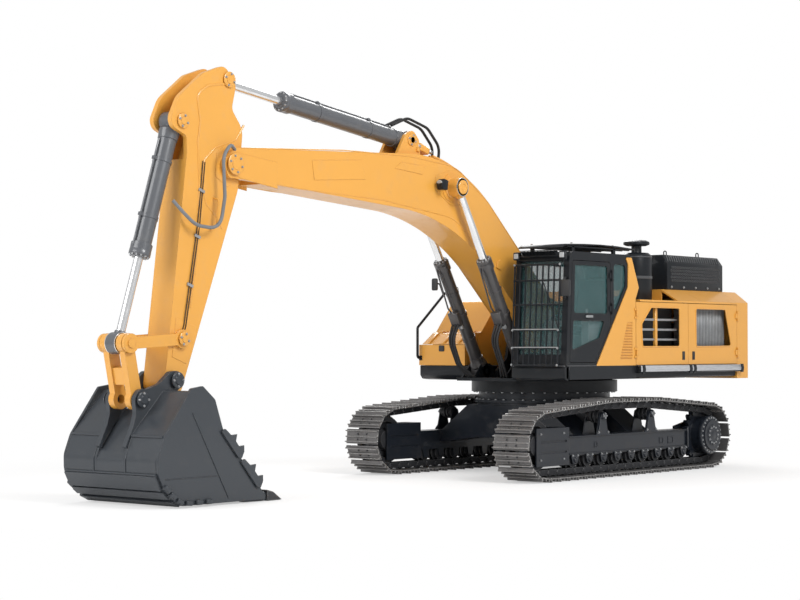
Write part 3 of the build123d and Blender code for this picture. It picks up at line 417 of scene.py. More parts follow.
@dataclass(frozen=True)
class Glass:
    """Tinted safety glass with faint dust."""

    name: str
    colour: tuple[float, float, float]
    see_through: float = 0.55

    def build(self) -> bpy.types.Material:
        """Return the material.

        Returns:
            The material.
        """
        graph = Graph(self.name)
        dust = graph.noise(3.0, 5.0, roughness=0.7).ramp(0.45, 0.8)
        clear = self.see_through - dust * 0.08
        return graph.surface(Base_Color=graph.mix(dust * 0.2, self.colour, (0.3, 0.32, 0.33)),
                             Roughness=0.03 + dust * 0.08, Alpha=1.0 - clear,
                             Coat_Weight=1.0, Metallic=0.0)


@dataclass(frozen=True)
class TreadPlate:
    """Bare aluminium tread plate with raised bars."""

    name: str
    colour: tuple[float, float, float]

    def build(self) -> bpy.types.Material:
        """Return the material.

        Returns:
            The material.
        """
        graph = Graph(self.name)
        scratch = graph.noise(18.0, 5.0, stretch=(0.3, 3.0, 3.0)).ramp(0.4, 0.7)
        bars = graph.node("ShaderNodeTexVoronoi", {"distance": "MANHATTAN"}, graph.place(), Scale=22.0)
        colour = graph.mix(scratch * 0.4, self.colour, tuple(c * 0.6 for c in self.colour))
        return graph.surface(Base_Color=colour, Metallic=0.75, Roughness=0.38 + scratch * 0.15,
                             Normal=graph.bump(bars.ramp(0.1, 0.5), 0.4, 0.003))


YELLOW = srgb(220, 158, 66)


class Finish(Enum):
    """Every finish on the machine."""

    BODY = Paint("warm_yellow_paint", YELLOW, (0.10, 0.09, 0.08))
    BLACK = Paint("satin_black_paint", (0.011, 0.013, 0.016),
                  (0.08, 0.08, 0.08), 0.30, 0.06, 0.03, gloss=0.22)
    FRAME = Paint("blue_black_paint", (0.011, 0.014, 0.020),
                  (0.12, 0.12, 0.12), 0.26, 0.15, 0.05, gloss=0.3)
    BUCKET = Paint("graphite_paint", (0.040, 0.046, 0.054),
                   (0.14, 0.14, 0.15), 0.30, 0.12, 0.03, 0.016, 0.4, gloss=0.35)
    CYLINDER = Paint("slate_grey_paint", (0.085, 0.09, 0.10), (0.2, 0.2, 0.2), 0.32, 0.4, 0.08)
    CYLINDER_DARK = Paint("umber_grey_paint", (0.045, 0.042, 0.043), (0.2, 0.2, 0.2), 0.32, 0.4, 0.08)
    SHOE = BareSteel("track_steel", (0.17, 0.165, 0.165), (0.55, 0.54, 0.52), 0.42, 0.6, 60.0, 0.012, 1.0)
    CAST = BareSteel("cast_steel", (0.03, 0.031, 0.035), (0.22, 0.22, 0.22), 0.55, 0.4)
    ROD = Chrome("chromed_rod")
    RUBBER = Moulded("black_rubber", (0.009, 0.009, 0.010), 0.6, 400.0, 0.08)
    TRIM = Moulded("dark_plastic", (0.020, 0.021, 0.023), 0.5)
    SEAT = Moulded("seat_cloth", (0.03, 0.032, 0.036), 0.85, 520.0, 0.3)
    PANEL = Moulded("grey_plastic", (0.20, 0.205, 0.21), 0.55)
    GLASS = Glass("teal_glass", (0.060, 0.160, 0.165), 0.70)
    STEP = TreadPlate("aluminium_tread", (0.62, 0.63, 0.65))
    ZINC = BareSteel("zinc_steel", (0.42, 0.43, 0.44), (0.7, 0.7, 0.7), 0.35, 0.7, 90.0, 0.004, 0.4)
    TOOTH = BareSteel("worn_tooth_steel", (0.055, 0.056, 0.060),
                      (0.34, 0.34, 0.34), 0.42, 0.6, 40.0, 0.014, 1.0)
    SLATE = Paint("slate_trim_paint", (0.055, 0.058, 0.063), (0.2, 0.2, 0.2), 0.35, 0.3, 0.05)
    UMBER = Paint("umber_sill_paint", (0.075, 0.058, 0.045), (0.2, 0.2, 0.2), 0.5, 0.1, 0.2)
    LENS = Moulded("frosted_lens", (0.42, 0.44, 0.45), 0.2, 90.0, 0.4)
    HOSE_GREY = Moulded("grey_hose", (0.16, 0.17, 0.18), 0.5, 300.0, 0.1)


class FinishShop:
    """Builds each finish once and hands it out."""

    def __init__(self) -> None:
        """Start with no finish built."""
        self.made: dict[Finish, bpy.types.Material] = {}

    def get(self, finish: Finish) -> bpy.types.Material:
        """Return a finish's material, built on first use.

        Args:
            finish: the finish.

        Returns:
            Its material.
        """
        if finish not in self.made:
            self.made[finish] = finish.value.build()
        return self.made[finish]

    def dress(self, thing: bpy.types.Object, finish: Finish) -> None:
        """Give an object one finish all over."""
        thing.data.materials.clear()
        thing.data.materials.append(self.get(finish))


NODE_FINISH: dict[Finish, tuple[str, ...]] = {
    Finish.BODY: (
        "boom", "arm", "h_link", "hood", "counterweight", "cab_side_skin", "service_door_front",
        "service_door_rear", "pump_door", "right_body", "tool_box", "tool_box_lid", "boom_pipes",
        "idler_link",
    ),
    Finish.BLACK: (
        "grille_box", "air_cleaner", "exhaust", "front_guard", "roof_guard", "handrail", "side_decks",
        "cab_shell", "cab_door", "engine", "main_frame",
    ),
    Finish.FRAME: (
        "car_body", "track_frame_left", "track_frame_right", "slew_ring", "idlers", "sprockets",
        "track_rollers",
    ),
    Finish.BUCKET: ("bucket",),
    Finish.PANEL: ("console", "cooling_pack"),
    Finish.CYLINDER: ("arm_barrel", "bucket_barrel"),
    Finish.CYLINDER_DARK: ("boom_barrel_left", "boom_barrel_right"),
    Finish.ROD: ("boom_rod_left", "boom_rod_right", "arm_rod", "bucket_rod"),
    Finish.CAST: ("boom_foot_pin",),
    Finish.SHOE: ("track_left", "track_right"),
    Finish.GLASS: ("cab_glass", "cab_door_glass"),
    Finish.SEAT: ("seat",),
}


# ------------------------------------------------------------------- modelling

Coord = tuple[float, float, float]
Flat = tuple[float, float]

AXIS_X = -2.442973  # of the swing axis along the row frame's X
SMOOTH = math.radians(38)
SIDES = ((1, "left"), (-1, "right"))
ARC_ROOM = 0.48  # share of a straight run that a corner's arc may take
LEAST_ARC = 0.002
LEAST_TURN = 0.02  # radians, below which a path is straight


def arc(corner: Vector, back: Vector, ahead: Vector, reach: float, steps: int) -> list[Vector]:
    """Return the points that round off one corner.

    Args:
        corner: the sharp corner.
        back: towards the corner before.
        ahead: towards the corner after.
        reach: how far the arc starts from the corner.
        steps: straight pieces in the arc.

    Returns:
        The arc's points, both ends with them.
    """
    start, end = corner + back.normalized() * reach, corner + ahead.normalized() * reach
    shares = [i / steps for i in range(steps + 1)]
    return [start * (1 - share) ** 2 + corner * 2 * share * (1 - share) + end * share**2
            for share in shares]


def rounded(points: Sequence[Point], radius: float, steps: int = 6) -> list[Vector]:
    """Return a path whose corners are replaced by arcs.

    Args:
        points: the path's corners.
        radius: of each arc, less where a run is short.
        steps: straight pieces in each arc.

    Returns:
        The path's points.
    """
    way = [Vector(p) for p in points]
    out = [way[0]]
    for before, corner, after in zip(way, way[1:], way[2:]):
        back, ahead = (before - corner), (after - corner)
        turn = math.pi - back.angle(ahead)
        if turn < LEAST_TURN:
            continue
        room = ARC_ROOM * min(back.length, ahead.length)
        out += arc(corner, back, ahead, min(radius * math.tan(turn / 2), room), steps)
    return out + [way[-1]]


def curved(rows: Sequence[Point], steps: int = 5) -> list[Flat]:
    """Return a closed outline of (x, z, radius) rows with its corners rounded.

    Args:
        rows: the corners, each with its own radius.
        steps: straight pieces in each arc.

    Returns:
        The outline's points.
    """
    out: list[Flat] = []
    for i, row in enumerate(rows):
        corner = Vector(row[:2])
        before, after = Vector(rows[i - 1][:2]), Vector(rows[(i + 1) % len(rows)][:2])
        back, ahead = before - corner, after - corner
        turn = math.pi - back.angle(ahead)
        cut = min(row[2] * math.tan(turn / 2), ARC_ROOM * min(back.length, ahead.length))
        if cut < LEAST_ARC:
            out.append((corner.x, corner.y))
            continue
        out += [(spot.x, spot.y) for spot in arc(corner, back, ahead, cut, steps)]
    return out


@dataclass
class Assembly:
    """The shop work that every assembly shares, in metres about the swing axis."""

    shop: FinishShop

    def select(self, *things: bpy.types.Object) -> None:
        """Select these objects alone.

        Args:
            *things: the objects; the first becomes active.
        """
        bpy.ops.object.select_all(action="DESELECT")
        for thing in things:
            thing.select_set(True)
        bpy.context.view_layer.objects.active = things[0]

    def edit(self, thing: bpy.types.Object) -> None:
        """Open an object's mesh with everything selected.

        Args:
            thing: the object.
        """
        self.select(thing)
        bpy.ops.object.mode_set(mode="EDIT")
        bpy.ops.mesh.select_all(action="SELECT")

    def _outline(self, points: Sequence[Coord], fill: str) -> bpy.types.Object:
        """Return a ring of vertices at the given points.

        Args:
            points: where the vertices go.
            fill: the fill type of the ring.

        Returns:
            The ring.
        """
        bpy.ops.object.select_all(action="DESELECT")
        bpy.ops.mesh.primitive_circle_add(vertices=len(points), radius=1.0, fill_type=fill)
        thing = bpy.context.object
        for vertex, point in zip(thing.data.vertices, points):
            vertex.co = point
        return thing

    def plate(self, outline: Sequence[Flat], low: float,
              high: float, bevel: float = 0.0, axis: str = "Y", segments: int = 1) -> bpy.types.Object:
        """Extrude an outline and bevel its edges.

        Args:
            outline: (x, z) rows for axis Y, (y, z) for X and (x, y) for Z.
            low: where the extrusion starts along the axis.
            high: where it ends.
            bevel: width of the bevel; 0 leaves the edges sharp.
            axis: the extrusion's axis.
            segments: of the bevel.

        Returns:
            The solid.
        """
        place = {
            "X": lambda a, b: (low, a, b),
            "Y": lambda a, b: (a, low, b),
            "Z": lambda a, b: (a, b, low),
        }
        move = Vector([high - low if axis == name else 0.0 for name in "XYZ"])
        thing = self._outline([place[axis](*row[:2]) for row in outline], "NGON")
        self.edit(thing)
        bpy.ops.mesh.extrude_region_move(TRANSFORM_OT_translate={"value": move})
        self._close(bevel, segments)
        return thing

    def _close(self, bevel: float, segments: int) -> None:
        """Turn the open mesh's normals outwards, bevel it and leave edit mode.

        Args:
            bevel: width; 0 leaves the edges sharp.
            segments: of the bevel.
        """
        bpy.ops.mesh.select_all(action="SELECT")
        bpy.ops.mesh.normals_make_consistent(inside=False)
        if bevel:
            bpy.ops.mesh.bevel(offset=bevel, segments=segments, affect="EDGES", clamp_overlap=True)
        bpy.ops.object.mode_set(mode="OBJECT")

    def block(self, x: Flat, y: Flat, z: Flat, bevel: float = 0.004) -> bpy.types.Object:
        """Return a bevelled bar between (low, high) pairs."""
        outline = ((x[0], z[0]), (x[1], z[0]), (x[1], z[1]), (x[0], z[1]))
        return self.plate(outline, y[0], y[1], bevel)

    def lathe(self, profile: Sequence[Flat], at: Coord,
              axis: str = "Y", steps: int = 32) -> bpy.types.Object:
        """Spin a profile about an axis.

        Args:
            profile: (radius, along) rows; closed from the last to the first.
            at: a point of the axis.
            axis: X, Y or Z.
            steps: sides of the turned piece.

        Returns:
            The solid.
        """
        away = {"X": Vector((0, 0, 1)), "Y": Vector((0, 0, 1)), "Z": Vector((1, 0, 0))}[axis]
        along = Vector([1.0 if axis == name else 0.0 for name in "XYZ"])
        points = [away * radius + along * height for radius, height in profile]
        thing = self._outline(points, "NOTHING")
        self.edit(thing)
        bpy.ops.mesh.spin(steps=steps, angle=2 * math.pi, center=(0, 0, 0), axis=tuple(along))
        bpy.ops.mesh.select_all(action="SELECT")
        bpy.ops.mesh.remove_doubles(threshold=0.0002)
        bpy.ops.mesh.dissolve_degenerate(threshold=0.0001)
        self._close(0.0, 1)
        thing.data.transform(Matrix.Translation(Vector(at)))
        return thing

    def tube(self, points: Sequence[Point], radius: float,
             corner: float = 0.0, sides: int = 12) -> bpy.types.Object:
        """Return a round bar along a path.

        Args:
            points: the path's corners.
            radius: of the bar.
            corner: radius of the path's corners.
            sides: of the bar.

        Returns:
            The bar's mesh.
        """
        way = rounded(points, corner) if corner else [Vector(p) for p in points]
        curve = bpy.data.curves.new("tube", "CURVE")
        curve.dimensions = "3D"
        curve.bevel_depth = radius
        curve.bevel_resolution = max(0, sides // 4 - 1)
        curve.use_fill_caps = True
        spline = curve.splines.new("POLY")
        spline.points.add(len(way) - 1)
        for target, point in zip(spline.points, way):
            target.co = (*point, 1.0)
        thing = bpy.data.objects.new("tube", curve)
        bpy.context.scene.collection.objects.link(thing)
        self.select(thing)
        bpy.ops.object.convert(target="MESH")
        return bpy.context.object

    def bolt(self, radius: float = 0.017, height: float = 0.016) -> bpy.types.Object:
        """Return a hexagon head on a washer, facing +Z from the origin.

        Args:
            radius: of the head.
            height: of the head.

        Returns:
            The bolt.
        """
        bpy.ops.object.select_all(action="DESELECT")
        bpy.ops.mesh.primitive_circle_add(vertices=6, radius=radius * 1.35, fill_type="NGON")
        thing = bpy.context.object
        bpy.ops.object.mode_set(mode="EDIT")
        bpy.ops.mesh.extrude_region_move(TRANSFORM_OT_translate={"value": (0, 0, height * 0.25)})
        bpy.ops.mesh.inset(thickness=radius * 0.35)
        bpy.ops.mesh.extrude_region_move(TRANSFORM_OT_translate={"value": (0, 0, height * 0.55)})
        bpy.ops.mesh.extrude_region_move(TRANSFORM_OT_translate={"value": (0, 0, height * 0.2)})
        bpy.ops.transform.resize(value=(0.8, 0.8, 1.0))
        self._close(0.0, 1)
        return thing

    def copies(self, master: bpy.types.Object, places: Iterable[Matrix]) -> list[bpy.types.Object]:
        """Return a copy with its own mesh at each place, and drop the master.

        Args:
            master: the object that is copied.
            places: one matrix for each copy.

        Returns:
            The copies.
        """
        made = []
        for place in places:
            copy = master.copy()
            copy.data = master.data.copy()
            copy.data.transform(place)
            bpy.context.scene.collection.objects.link(copy)
            made.append(copy)
        bpy.data.objects.remove(master)
        return made

    def bolts(self, rows: Iterable[tuple[Coord, Coord]], radius: float = 0.017) -> list[bpy.types.Object]:
        """Return a bolt at each (point, outward direction).

        Args:
            rows: (point, outward direction) rows.
            radius: of the heads.

        Returns:
            The bolts.
        """
        places = []
        for at, out in rows:
            turn = Vector(out).to_track_quat("Z", "Y").to_matrix().to_4x4()
            places.append(Matrix.Translation(Vector(at)) @ turn)
        return self.copies(self.bolt(radius), places)

    def circle(self, at: Coord, ring: float, count: int, out: Coord) -> list[tuple[Coord, Coord]]:
        """Return (point, direction) rows round a centre, across the outward direction.

        Args:
            at: the centre.
            ring: the circle's radius.
            count: how many.
            out: the outward direction.

        Returns:
            The rows.
        """
        turn = Vector(out).to_track_quat("Z", "Y").to_matrix()
        rows = []
        for i in range(count):
            angle = 2 * math.pi * i / count
            spot = Vector(at) + turn @ Vector((ring * math.cos(angle), ring * math.sin(angle), 0.0))
            rows.append((tuple(spot), out))
        return rows

    def finish(self, things: Sequence[bpy.types.Object], name: str, body: str,
               finish: Finish, place: Matrix | None = None, smooth: bool = True) -> bpy.types.Object:
        """Join pieces into one object that rides on a body.

        Args:
            things: the pieces.
            name: the joined object's name.
            body: what carries it.
            finish: its finish.
            place: moves the pieces from their own frame to the swing frame.
            smooth: shade round faces smooth.

        Returns:
            The joined object.
        """
        self.select(*things)
        if len(things) > 1:
            bpy.ops.object.join()
        thing = bpy.context.object
        thing.name = name
        thing.data.name = name
        if place is not None:
            thing.data.transform(place)
        thing.data.transform(Matrix.Translation((AXIS_X, 0, 0)))
        if smooth:
            self.select(thing)
            bpy.ops.object.shade_smooth_by_angle(angle=SMOOTH)
        self.shop.dress(thing, finish)
        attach(thing, body)
        return thing


def on_side(profile: Sequence[Flat], side: int) -> list[Flat]:
    """Return a turned profile that faces left (1) or right (-1)."""
    return [(radius, side * along) for radius, along in profile]


def reach(side: int, near: float, far: float) -> Flat:
    """Return a stretch of the width on the left (1) or right (-1), lower end first."""
    return min(side * near, side * far), max(side * near, side * far)


def side_frame(x: float, z: float, degrees: float) -> Matrix:
    """Return the place of a side-view frame whose X points up at an angle."""
    return Matrix.Translation((x, 0, z)) @ Matrix.Rotation(-math.radians(degrees), 4, "Y")


BOOM = side_frame(0.150, 2.050, 17.05)
ARM_AT = BOOM @ Vector((7.060, 0, 0))
ARM = side_frame(ARM_AT.x, ARM_AT.z, -70.1)
BUCKET_AT = ARM @ Vector((2.820, 0, 0))
BUCKET = side_frame(BUCKET_AT.x, BUCKET_AT.z, 0.0)
LIFT_BASE = Vector((1.060, 0, 1.510))  # base pin of the boom cylinders
LIFT_EYE = BOOM @ Vector((2.953, 0, 1.239))
LIFT_Y = 0.393


# ---------------------------------------------------------------- undercarriage


TRACK_Y = 1.350  # of a track's centre
WHEEL = (2.205, 0.505)  # x and z of the idlers' axles; the sprockets' x is the same, negative
CARRIERS = (-0.66, 0.62)  # x of the carrier rollers
TURN_STEPS = 60  # of the pin line round a wheel


@dataclass
class Tracks(Assembly):
    """Shoes, links and bolts of both track loops."""

    pin_radius: float = 0.400
    carrier_height: float = 0.877
    carrier_turn: float = 0.145
    pitch: float = 0.216
    half: float = 0.300

    def build(self) -> None:
        """Replace both packed loops."""
        places = self._places()
        for side, name in SIDES:
            y = side * TRACK_Y
            shoes = [Matrix.Translation((0, y, 0)) @ place for place in places]
            parts = self.copies(self._shoe(), shoes)
            track = self.finish(parts, "track_shoes_" + name, "undercarriage", Finish.SHOE)
            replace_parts(track, "track_" + name)
            links = self.copies(self._link(), shoes)
            self.finish(links, "track_links_" + name, "undercarriage", Finish.CAST)
            bolts = self.copies(self._bolts(), shoes)
            self.finish(bolts, "track_bolts_" + name, "undercarriage", Finish.CAST)

    def _places(self) -> list[Matrix]:
        """Return a place for each shoe: X along the loop, Z outwards, on the pin line.

        Returns:
            One matrix for each shoe.
        """
        points = self._pin_line()
        count = len(points)
        places = []
        for i in range(count):
            (x0, z0), (x1, z1) = points[i], points[(i + 1) % count]
            angle = math.atan2(z1 - z0, x1 - x0)
            middle = Matrix.Translation(((x0 + x1) / 2, 0, (z0 + z1) / 2))
            places.append(middle @ Matrix.Rotation(-angle, 4, "Y"))
        return places

    def _pin_line(self) -> list[Flat]:
        """Return the pins, evenly spaced clockwise from the sprocket's top.

        Returns:
            The points of the pins.
        """
        x, z = WHEEL
        turns = ((-x, z, self.pin_radius), (CARRIERS[0], self.carrier_height, self.carrier_turn),
                 (CARRIERS[1], self.carrier_height, self.carrier_turn), (x, z, self.pin_radius))
        count = len(turns)
        normals = []
        for i in range(count):
            (x0, z0, r0), (x1, z1, r1) = turns[i], turns[(i + 1) % count]
            gap = math.hypot(x1 - x0, z1 - z0)
            normals.append(math.atan2(z1 - z0, x1 - x0) + math.acos((r0 - r1) / gap))
        dense: list[Vector] = []
        for i in range(count):
            (x0, z0, r0), (x1, z1, r1) = turns[i], turns[(i + 1) % count]
            normal, following = normals[i], normals[(i + 1) % count]
            dense.append(Vector((x0 + r0 * math.cos(normal), z0 + r0 * math.sin(normal))))
            turn = (normal - following) % (2 * math.pi)
            for k in range(TURN_STEPS + 1):
                angle = normal - turn * k / TURN_STEPS
                dense.append(Vector((x1 + r1 * math.cos(angle), z1 + r1 * math.sin(angle))))
        return self._spaced(dense)

    def _spaced(self, dense: list[Vector]) -> list[Flat]:
        """Return points at an even pitch along a closed path.

        Args:
            dense: the closed path.

        Returns:
            The evenly spaced points.
        """
        runs = [(b - a).length for a, b in zip(dense, dense[1:] + dense[:1])]
        total = sum(runs)
        count = round(total / self.pitch)
        out: list[Flat] = []
        index, passed = 0, 0.0
        for i in range(count):
            want = total * i / count
            while passed + runs[index] < want:
                passed += runs[index]
                index += 1
            share = (want - passed) / max(runs[index], 1e-9)
            spot = dense[index].lerp(dense[(index + 1) % len(dense)], share)
            out.append((spot.x, spot.y))
        return out

    def _shoe(self) -> bpy.types.Object:
        """Return a shoe with three bars, a lip over the next shoe and cut ends.

        Returns:
            The shoe, about its own pin line.
        """
        profile = ((-0.112, 0.047), (-0.113, 0.060), (-0.098, 0.066),
                   (-0.091, 0.104), (-0.079, 0.104), (-0.072, 0.061),
                   (-0.014, 0.060), (-0.008, 0.090), (0.008, 0.090), (0.014, 0.060), (0.062, 0.061),
                   (0.068, 0.098), (0.080, 0.098), (0.088, 0.060), (0.101, 0.056), (0.101, 0.046),)
        return self.plate(profile, -self.half, self.half, 0.0015)

    def _link(self) -> bpy.types.Object:
        """Return the two waisted links of one shoe with their pin ends.

        Returns:
            The links as one object.
        """
        outline = ((-0.118, -0.026), (-0.096, -0.058), (0.090, -0.058), (0.112, -0.026), (0.112, 0.022),
                   (0.082, 0.044), (0.040, 0.024), (-0.040, 0.024), (-0.082, 0.044), (-0.118, 0.022))
        parts = []
        for side in (-1, 1):
            low, high = reach(side, 0.052, 0.098)
            parts.append(self.plate(outline, low, high, 0.003))
            tip = ((0.0, 0.095), (0.030, 0.095), (0.030, 0.110), (0.024, 0.114), (0.0, 0.114))
            parts.append(self.lathe(on_side(tip, side), (-0.108, 0, 0), "Y", 10))
        self.select(*parts)
        bpy.ops.object.join()
        return bpy.context.object

    def _bolts(self) -> bpy.types.Object:
        """Return one shoe's four bolts.

        Returns:
            The bolts as one object.
        """
        rows = [((x, y, 0.060), (0, 0, 1)) for x in (-0.042, 0.038) for y in (-0.082, 0.082)]
        parts = self.bolts(rows, 0.014)
        self.select(*parts)
        bpy.ops.object.join()
        return bpy.context.object


@dataclass
class Running(Assembly):
    """Rollers, idlers, sprockets and what is bolted to the track frames."""

    rollers: tuple[float, float, int] = (-1.560, 1.330, 9)
    roller_z: float = 0.2703
    carrier_z: float = 0.8767
    frame_face: float = 0.125

    def build(self) -> None:
        """Add every piece on both sides."""
        first, last, count = self.rollers
        spots = [first + i * (last - first) / (count - 1) for i in range(count)]
        for side, name in SIDES:
            self._rollers(spots, side, name)
            self._idler(side, name)
            self._drive(side, name)
            self._frame(spots, side, name)
        self._ring()

    def _out(self, side: int, away: float) -> float:
        """Return y at a distance outwards from a track's centre."""
        return side * (TRACK_Y + away)

    def _span(self, side: int, near: float, far: float) -> Flat:
        """Return a stretch of y between two distances outwards from a track's centre."""
        return reach(side, TRACK_Y + near, TRACK_Y + far)

    def _rollers(self, spots: Sequence[float], side: int, name: str) -> None:
        """Add the turned rollers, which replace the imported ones.

        Args:
            spots: the rollers' x.
            side: 1 for left, -1 for right.
            name: the side's name.
        """
        tread = ((0, -0.107), (0.045, -0.107), (0.062, -0.100),
                 (0.105, -0.096), (0.105, -0.042), (0.129, -0.038),
                 (0.126, -0.016), (0.090, -0.006), (0.090, 0.006), (0.126, 0.016), (0.129, 0.038),
                 (0.105, 0.042), (0.105, 0.096), (0.062, 0.100), (0.045, 0.107), (0, 0.107))
        parts = [self.lathe(tread, (x, side * TRACK_Y, self.roller_z), "Y", 24) for x in spots]
        small = [(radius * 0.81, along) for radius, along in tread]
        for x in CARRIERS:
            parts.append(self.lathe(small, (x, side * TRACK_Y, self.carrier_z), "Y", 24))
        made = self.finish(parts, "rollers_" + name, "undercarriage", Finish.CAST)
        if side > 0:
            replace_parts(made, "track_rollers")

    def _idler(self, side: int, name: str) -> None:
        """Add the cast idler with its dished web and hub.

        Args:
            side: 1 for left, -1 for right.
            name: the side's name.
        """
        rim = 0.3397
        half = ((rim - 0.002, 0.100), (rim, 0.094), (rim, 0.042), (rim + 0.032, 0.038))
        web = ((0.270, 0.092), (0.255, 0.040), (0.160, 0.034), (0.135, 0.095), (0.075, 0.107), (0, 0.107))
        profile = [(r, -a) for r, a in reversed(web)] + [(r, -a) for r, a in half]
        profile += list(reversed(half)) + list(web)
        part = self.lathe(profile, (WHEEL[0], side * TRACK_Y, WHEEL[1]), "Y", 48)
        made = self.finish([part], "idler_" + name, "undercarriage", Finish.CAST)
        if side > 0:
            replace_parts(made, "idlers")

    def _drive(self, side: int, name: str) -> None:
        """Add the stepped drive cover with its bolt circles and scalloped plate.

        Args:
            side: 1 for left, -1 for right.
            name: the side's name.
        """
        centre = (-WHEEL[0], self._out(side, 0), WHEEL[1])
        cover = ((0, 0.282), (0.060, 0.284), (0.075, 0.276),
                 (0.165, 0.276), (0.185, 0.262), (0.225, 0.256), (0.238, 0.244),
                 (0.292, 0.240), (0.300, 0.228), (0.300, 0.190), (0.288, 0.180), (0, 0.180))
        parts = [self.lathe(on_side(cover, side), centre, "Y", 56)]
        scallops = []
        for i in range(72):
            angle = 2 * math.pi * i / 72
            radius = 0.150 + 0.016 * math.cos(12 * angle)
            scallops.append((centre[0] + radius * math.cos(angle), centre[2] + radius * math.sin(angle)))
        low, high = self._span(side, 0.274, 0.283)
        parts.append(self.plate(scallops, low, high, 0.003))
        self.finish(parts, "drive_cover_" + name, "undercarriage", Finish.FRAME)
        out = (0, side, 0)
        rows = self.circle((centre[0], self._out(side, 0.241), centre[2]), 0.266, 24, out)
        rows += self.circle((centre[0], self._out(side, 0.283), centre[2]), 0.126, 12, out)
        self.finish(self.bolts(rows, 0.012), "drive_bolts_" + name, "undercarriage", Finish.ZINC)

    def _frame(self, spots: Sequence[float], side: int, name: str) -> None:
        """Add roller shoes, flanges, pockets, covers and bolts to a track frame.

        Args:
            spots: the rollers' x.
            side: 1 for left, -1 for right.
            name: the side's name.
        """
        face = self.frame_face
        parts, rows = [], []
        span = self._span(side, face - 0.002, face + 0.016)
        for x in spots:
            ear = ((x - 0.088, 0.318), (x - 0.062, 0.236), (x - 0.030, 0.212), (x + 0.030, 0.212),
                   (x + 0.062, 0.236), (x + 0.088, 0.318), (x + 0.088, 0.352), (x - 0.088, 0.352))
            parts.append(self.plate(ear, *span, 0.003))
            cap = ((0, face + 0.014), (0, face + 0.034), (0.028, face + 0.034),
                   (0.036, face + 0.026), (0.040, face + 0.014))
            parts.append(self.lathe(on_side(cap, side), (x, side * TRACK_Y, self.roller_z), "Y", 16))
            for dx in (-0.062, 0.062):
                rows.append(((x + dx, self._out(side, face + 0.016), 0.334), (0, side, 0)))
        for z in (0.598, 0.358):
            rim = self._span(side, face - 0.002, face + 0.020)
            parts.append(self.block((-1.640, 1.468), rim, (z - 0.010, z + 0.012), 0.004))
        for x in CARRIERS:
            bracket = ((x - 0.190, 0.602), (x - 0.110, 0.680), (x - 0.062, 0.880), (x - 0.030, 0.925),
                       (x + 0.030, 0.925), (x + 0.062, 0.880), (x + 0.110, 0.680), (x + 0.190, 0.602))
            parts.append(self.plate(bracket, *span, 0.004))
            hub = ((0, face + 0.014), (0, face + 0.048), (0.040, face + 0.048),
                   (0.052, face + 0.038), (0.060, face + 0.014))
            spot = (x, side * TRACK_Y, self.carrier_z)
            parts.append(self.lathe(on_side(hub, side), spot, "Y", 24))
            rows += self.circle((x, self._out(side, face + 0.048), self.carrier_z),
                                0.030, 4, (0, side, 0))
            rows += [((x + dx, self._out(side, face + 0.016), 0.640), (0, side, 0))
                     for dx in (-0.12, 0.12)]
        for x, width, low, high in ((0.75, 0.085, 0.425, 0.510),
                                    (-1.28, 0.150, 0.410, 0.520), (-1.00, 0.110, 0.420, 0.510)):
            outline = ((x, low), (x + width, low), (x + width, high), (x, high))
            rim = self.plate(outline, *self._span(side, face, face + 0.007), 0.002)
            parts.append(self._recess(rim, side))
        parts.append(self.block((-1.690, -1.650), self._span(side, face, face + 0.030),
                                (0.330, 0.650), 0.005))
        self.finish(parts, "frame_fittings_" + name, "undercarriage", Finish.FRAME)
        cover = self._out(side, face + 0.010)
        rows += [((x, cover, z), (0, side, 0)) for x in (1.60, 2.15) for z in (0.300, 0.660)]
        self.finish(self.bolts(rows, 0.013), "frame_bolts_" + name, "undercarriage", Finish.ZINC)

    def _recess(self, thing: bpy.types.Object, side: int) -> bpy.types.Object:
        """Inset a cover's outer face and push its middle in.

        Args:
            thing: the cover.
            side: 1 for left, -1 for right.

        Returns:
            The same cover.
        """
        self.select(thing)
        wanted = [p.index for p in thing.data.polygons if p.normal.y * side > 0.99]
        bpy.ops.object.mode_set(mode="EDIT")
        bpy.ops.mesh.select_mode(type="FACE")
        bpy.ops.mesh.select_all(action="DESELECT")
        bpy.ops.object.mode_set(mode="OBJECT")
        for index in wanted:
            thing.data.polygons[index].select = True
        bpy.ops.object.mode_set(mode="EDIT")
        bpy.ops.mesh.inset(thickness=0.012)
        bpy.ops.mesh.extrude_region_move(TRANSFORM_OT_translate={"value": (0, -side * 0.006, 0)})
        bpy.ops.object.mode_set(mode="OBJECT")
        return thing

    def _ring(self) -> None:
        """Add the slewing ring's two rows of bolts."""
        rows = self.circle((0, 0, 1.080), 1.018, 40, (0, 0, 1))
        self.finish(self.bolts(rows, 0.016), "ring_bolts_low", "undercarriage", Finish.ZINC)
        rows = self.circle((0, 0, 1.200), 1.060, 40, (0, 0, -1))
        self.finish(self.bolts(rows, 0.016), "ring_bolts_high", "upper", Finish.ZINC)


# ------------------------------------------------------------------ upper body


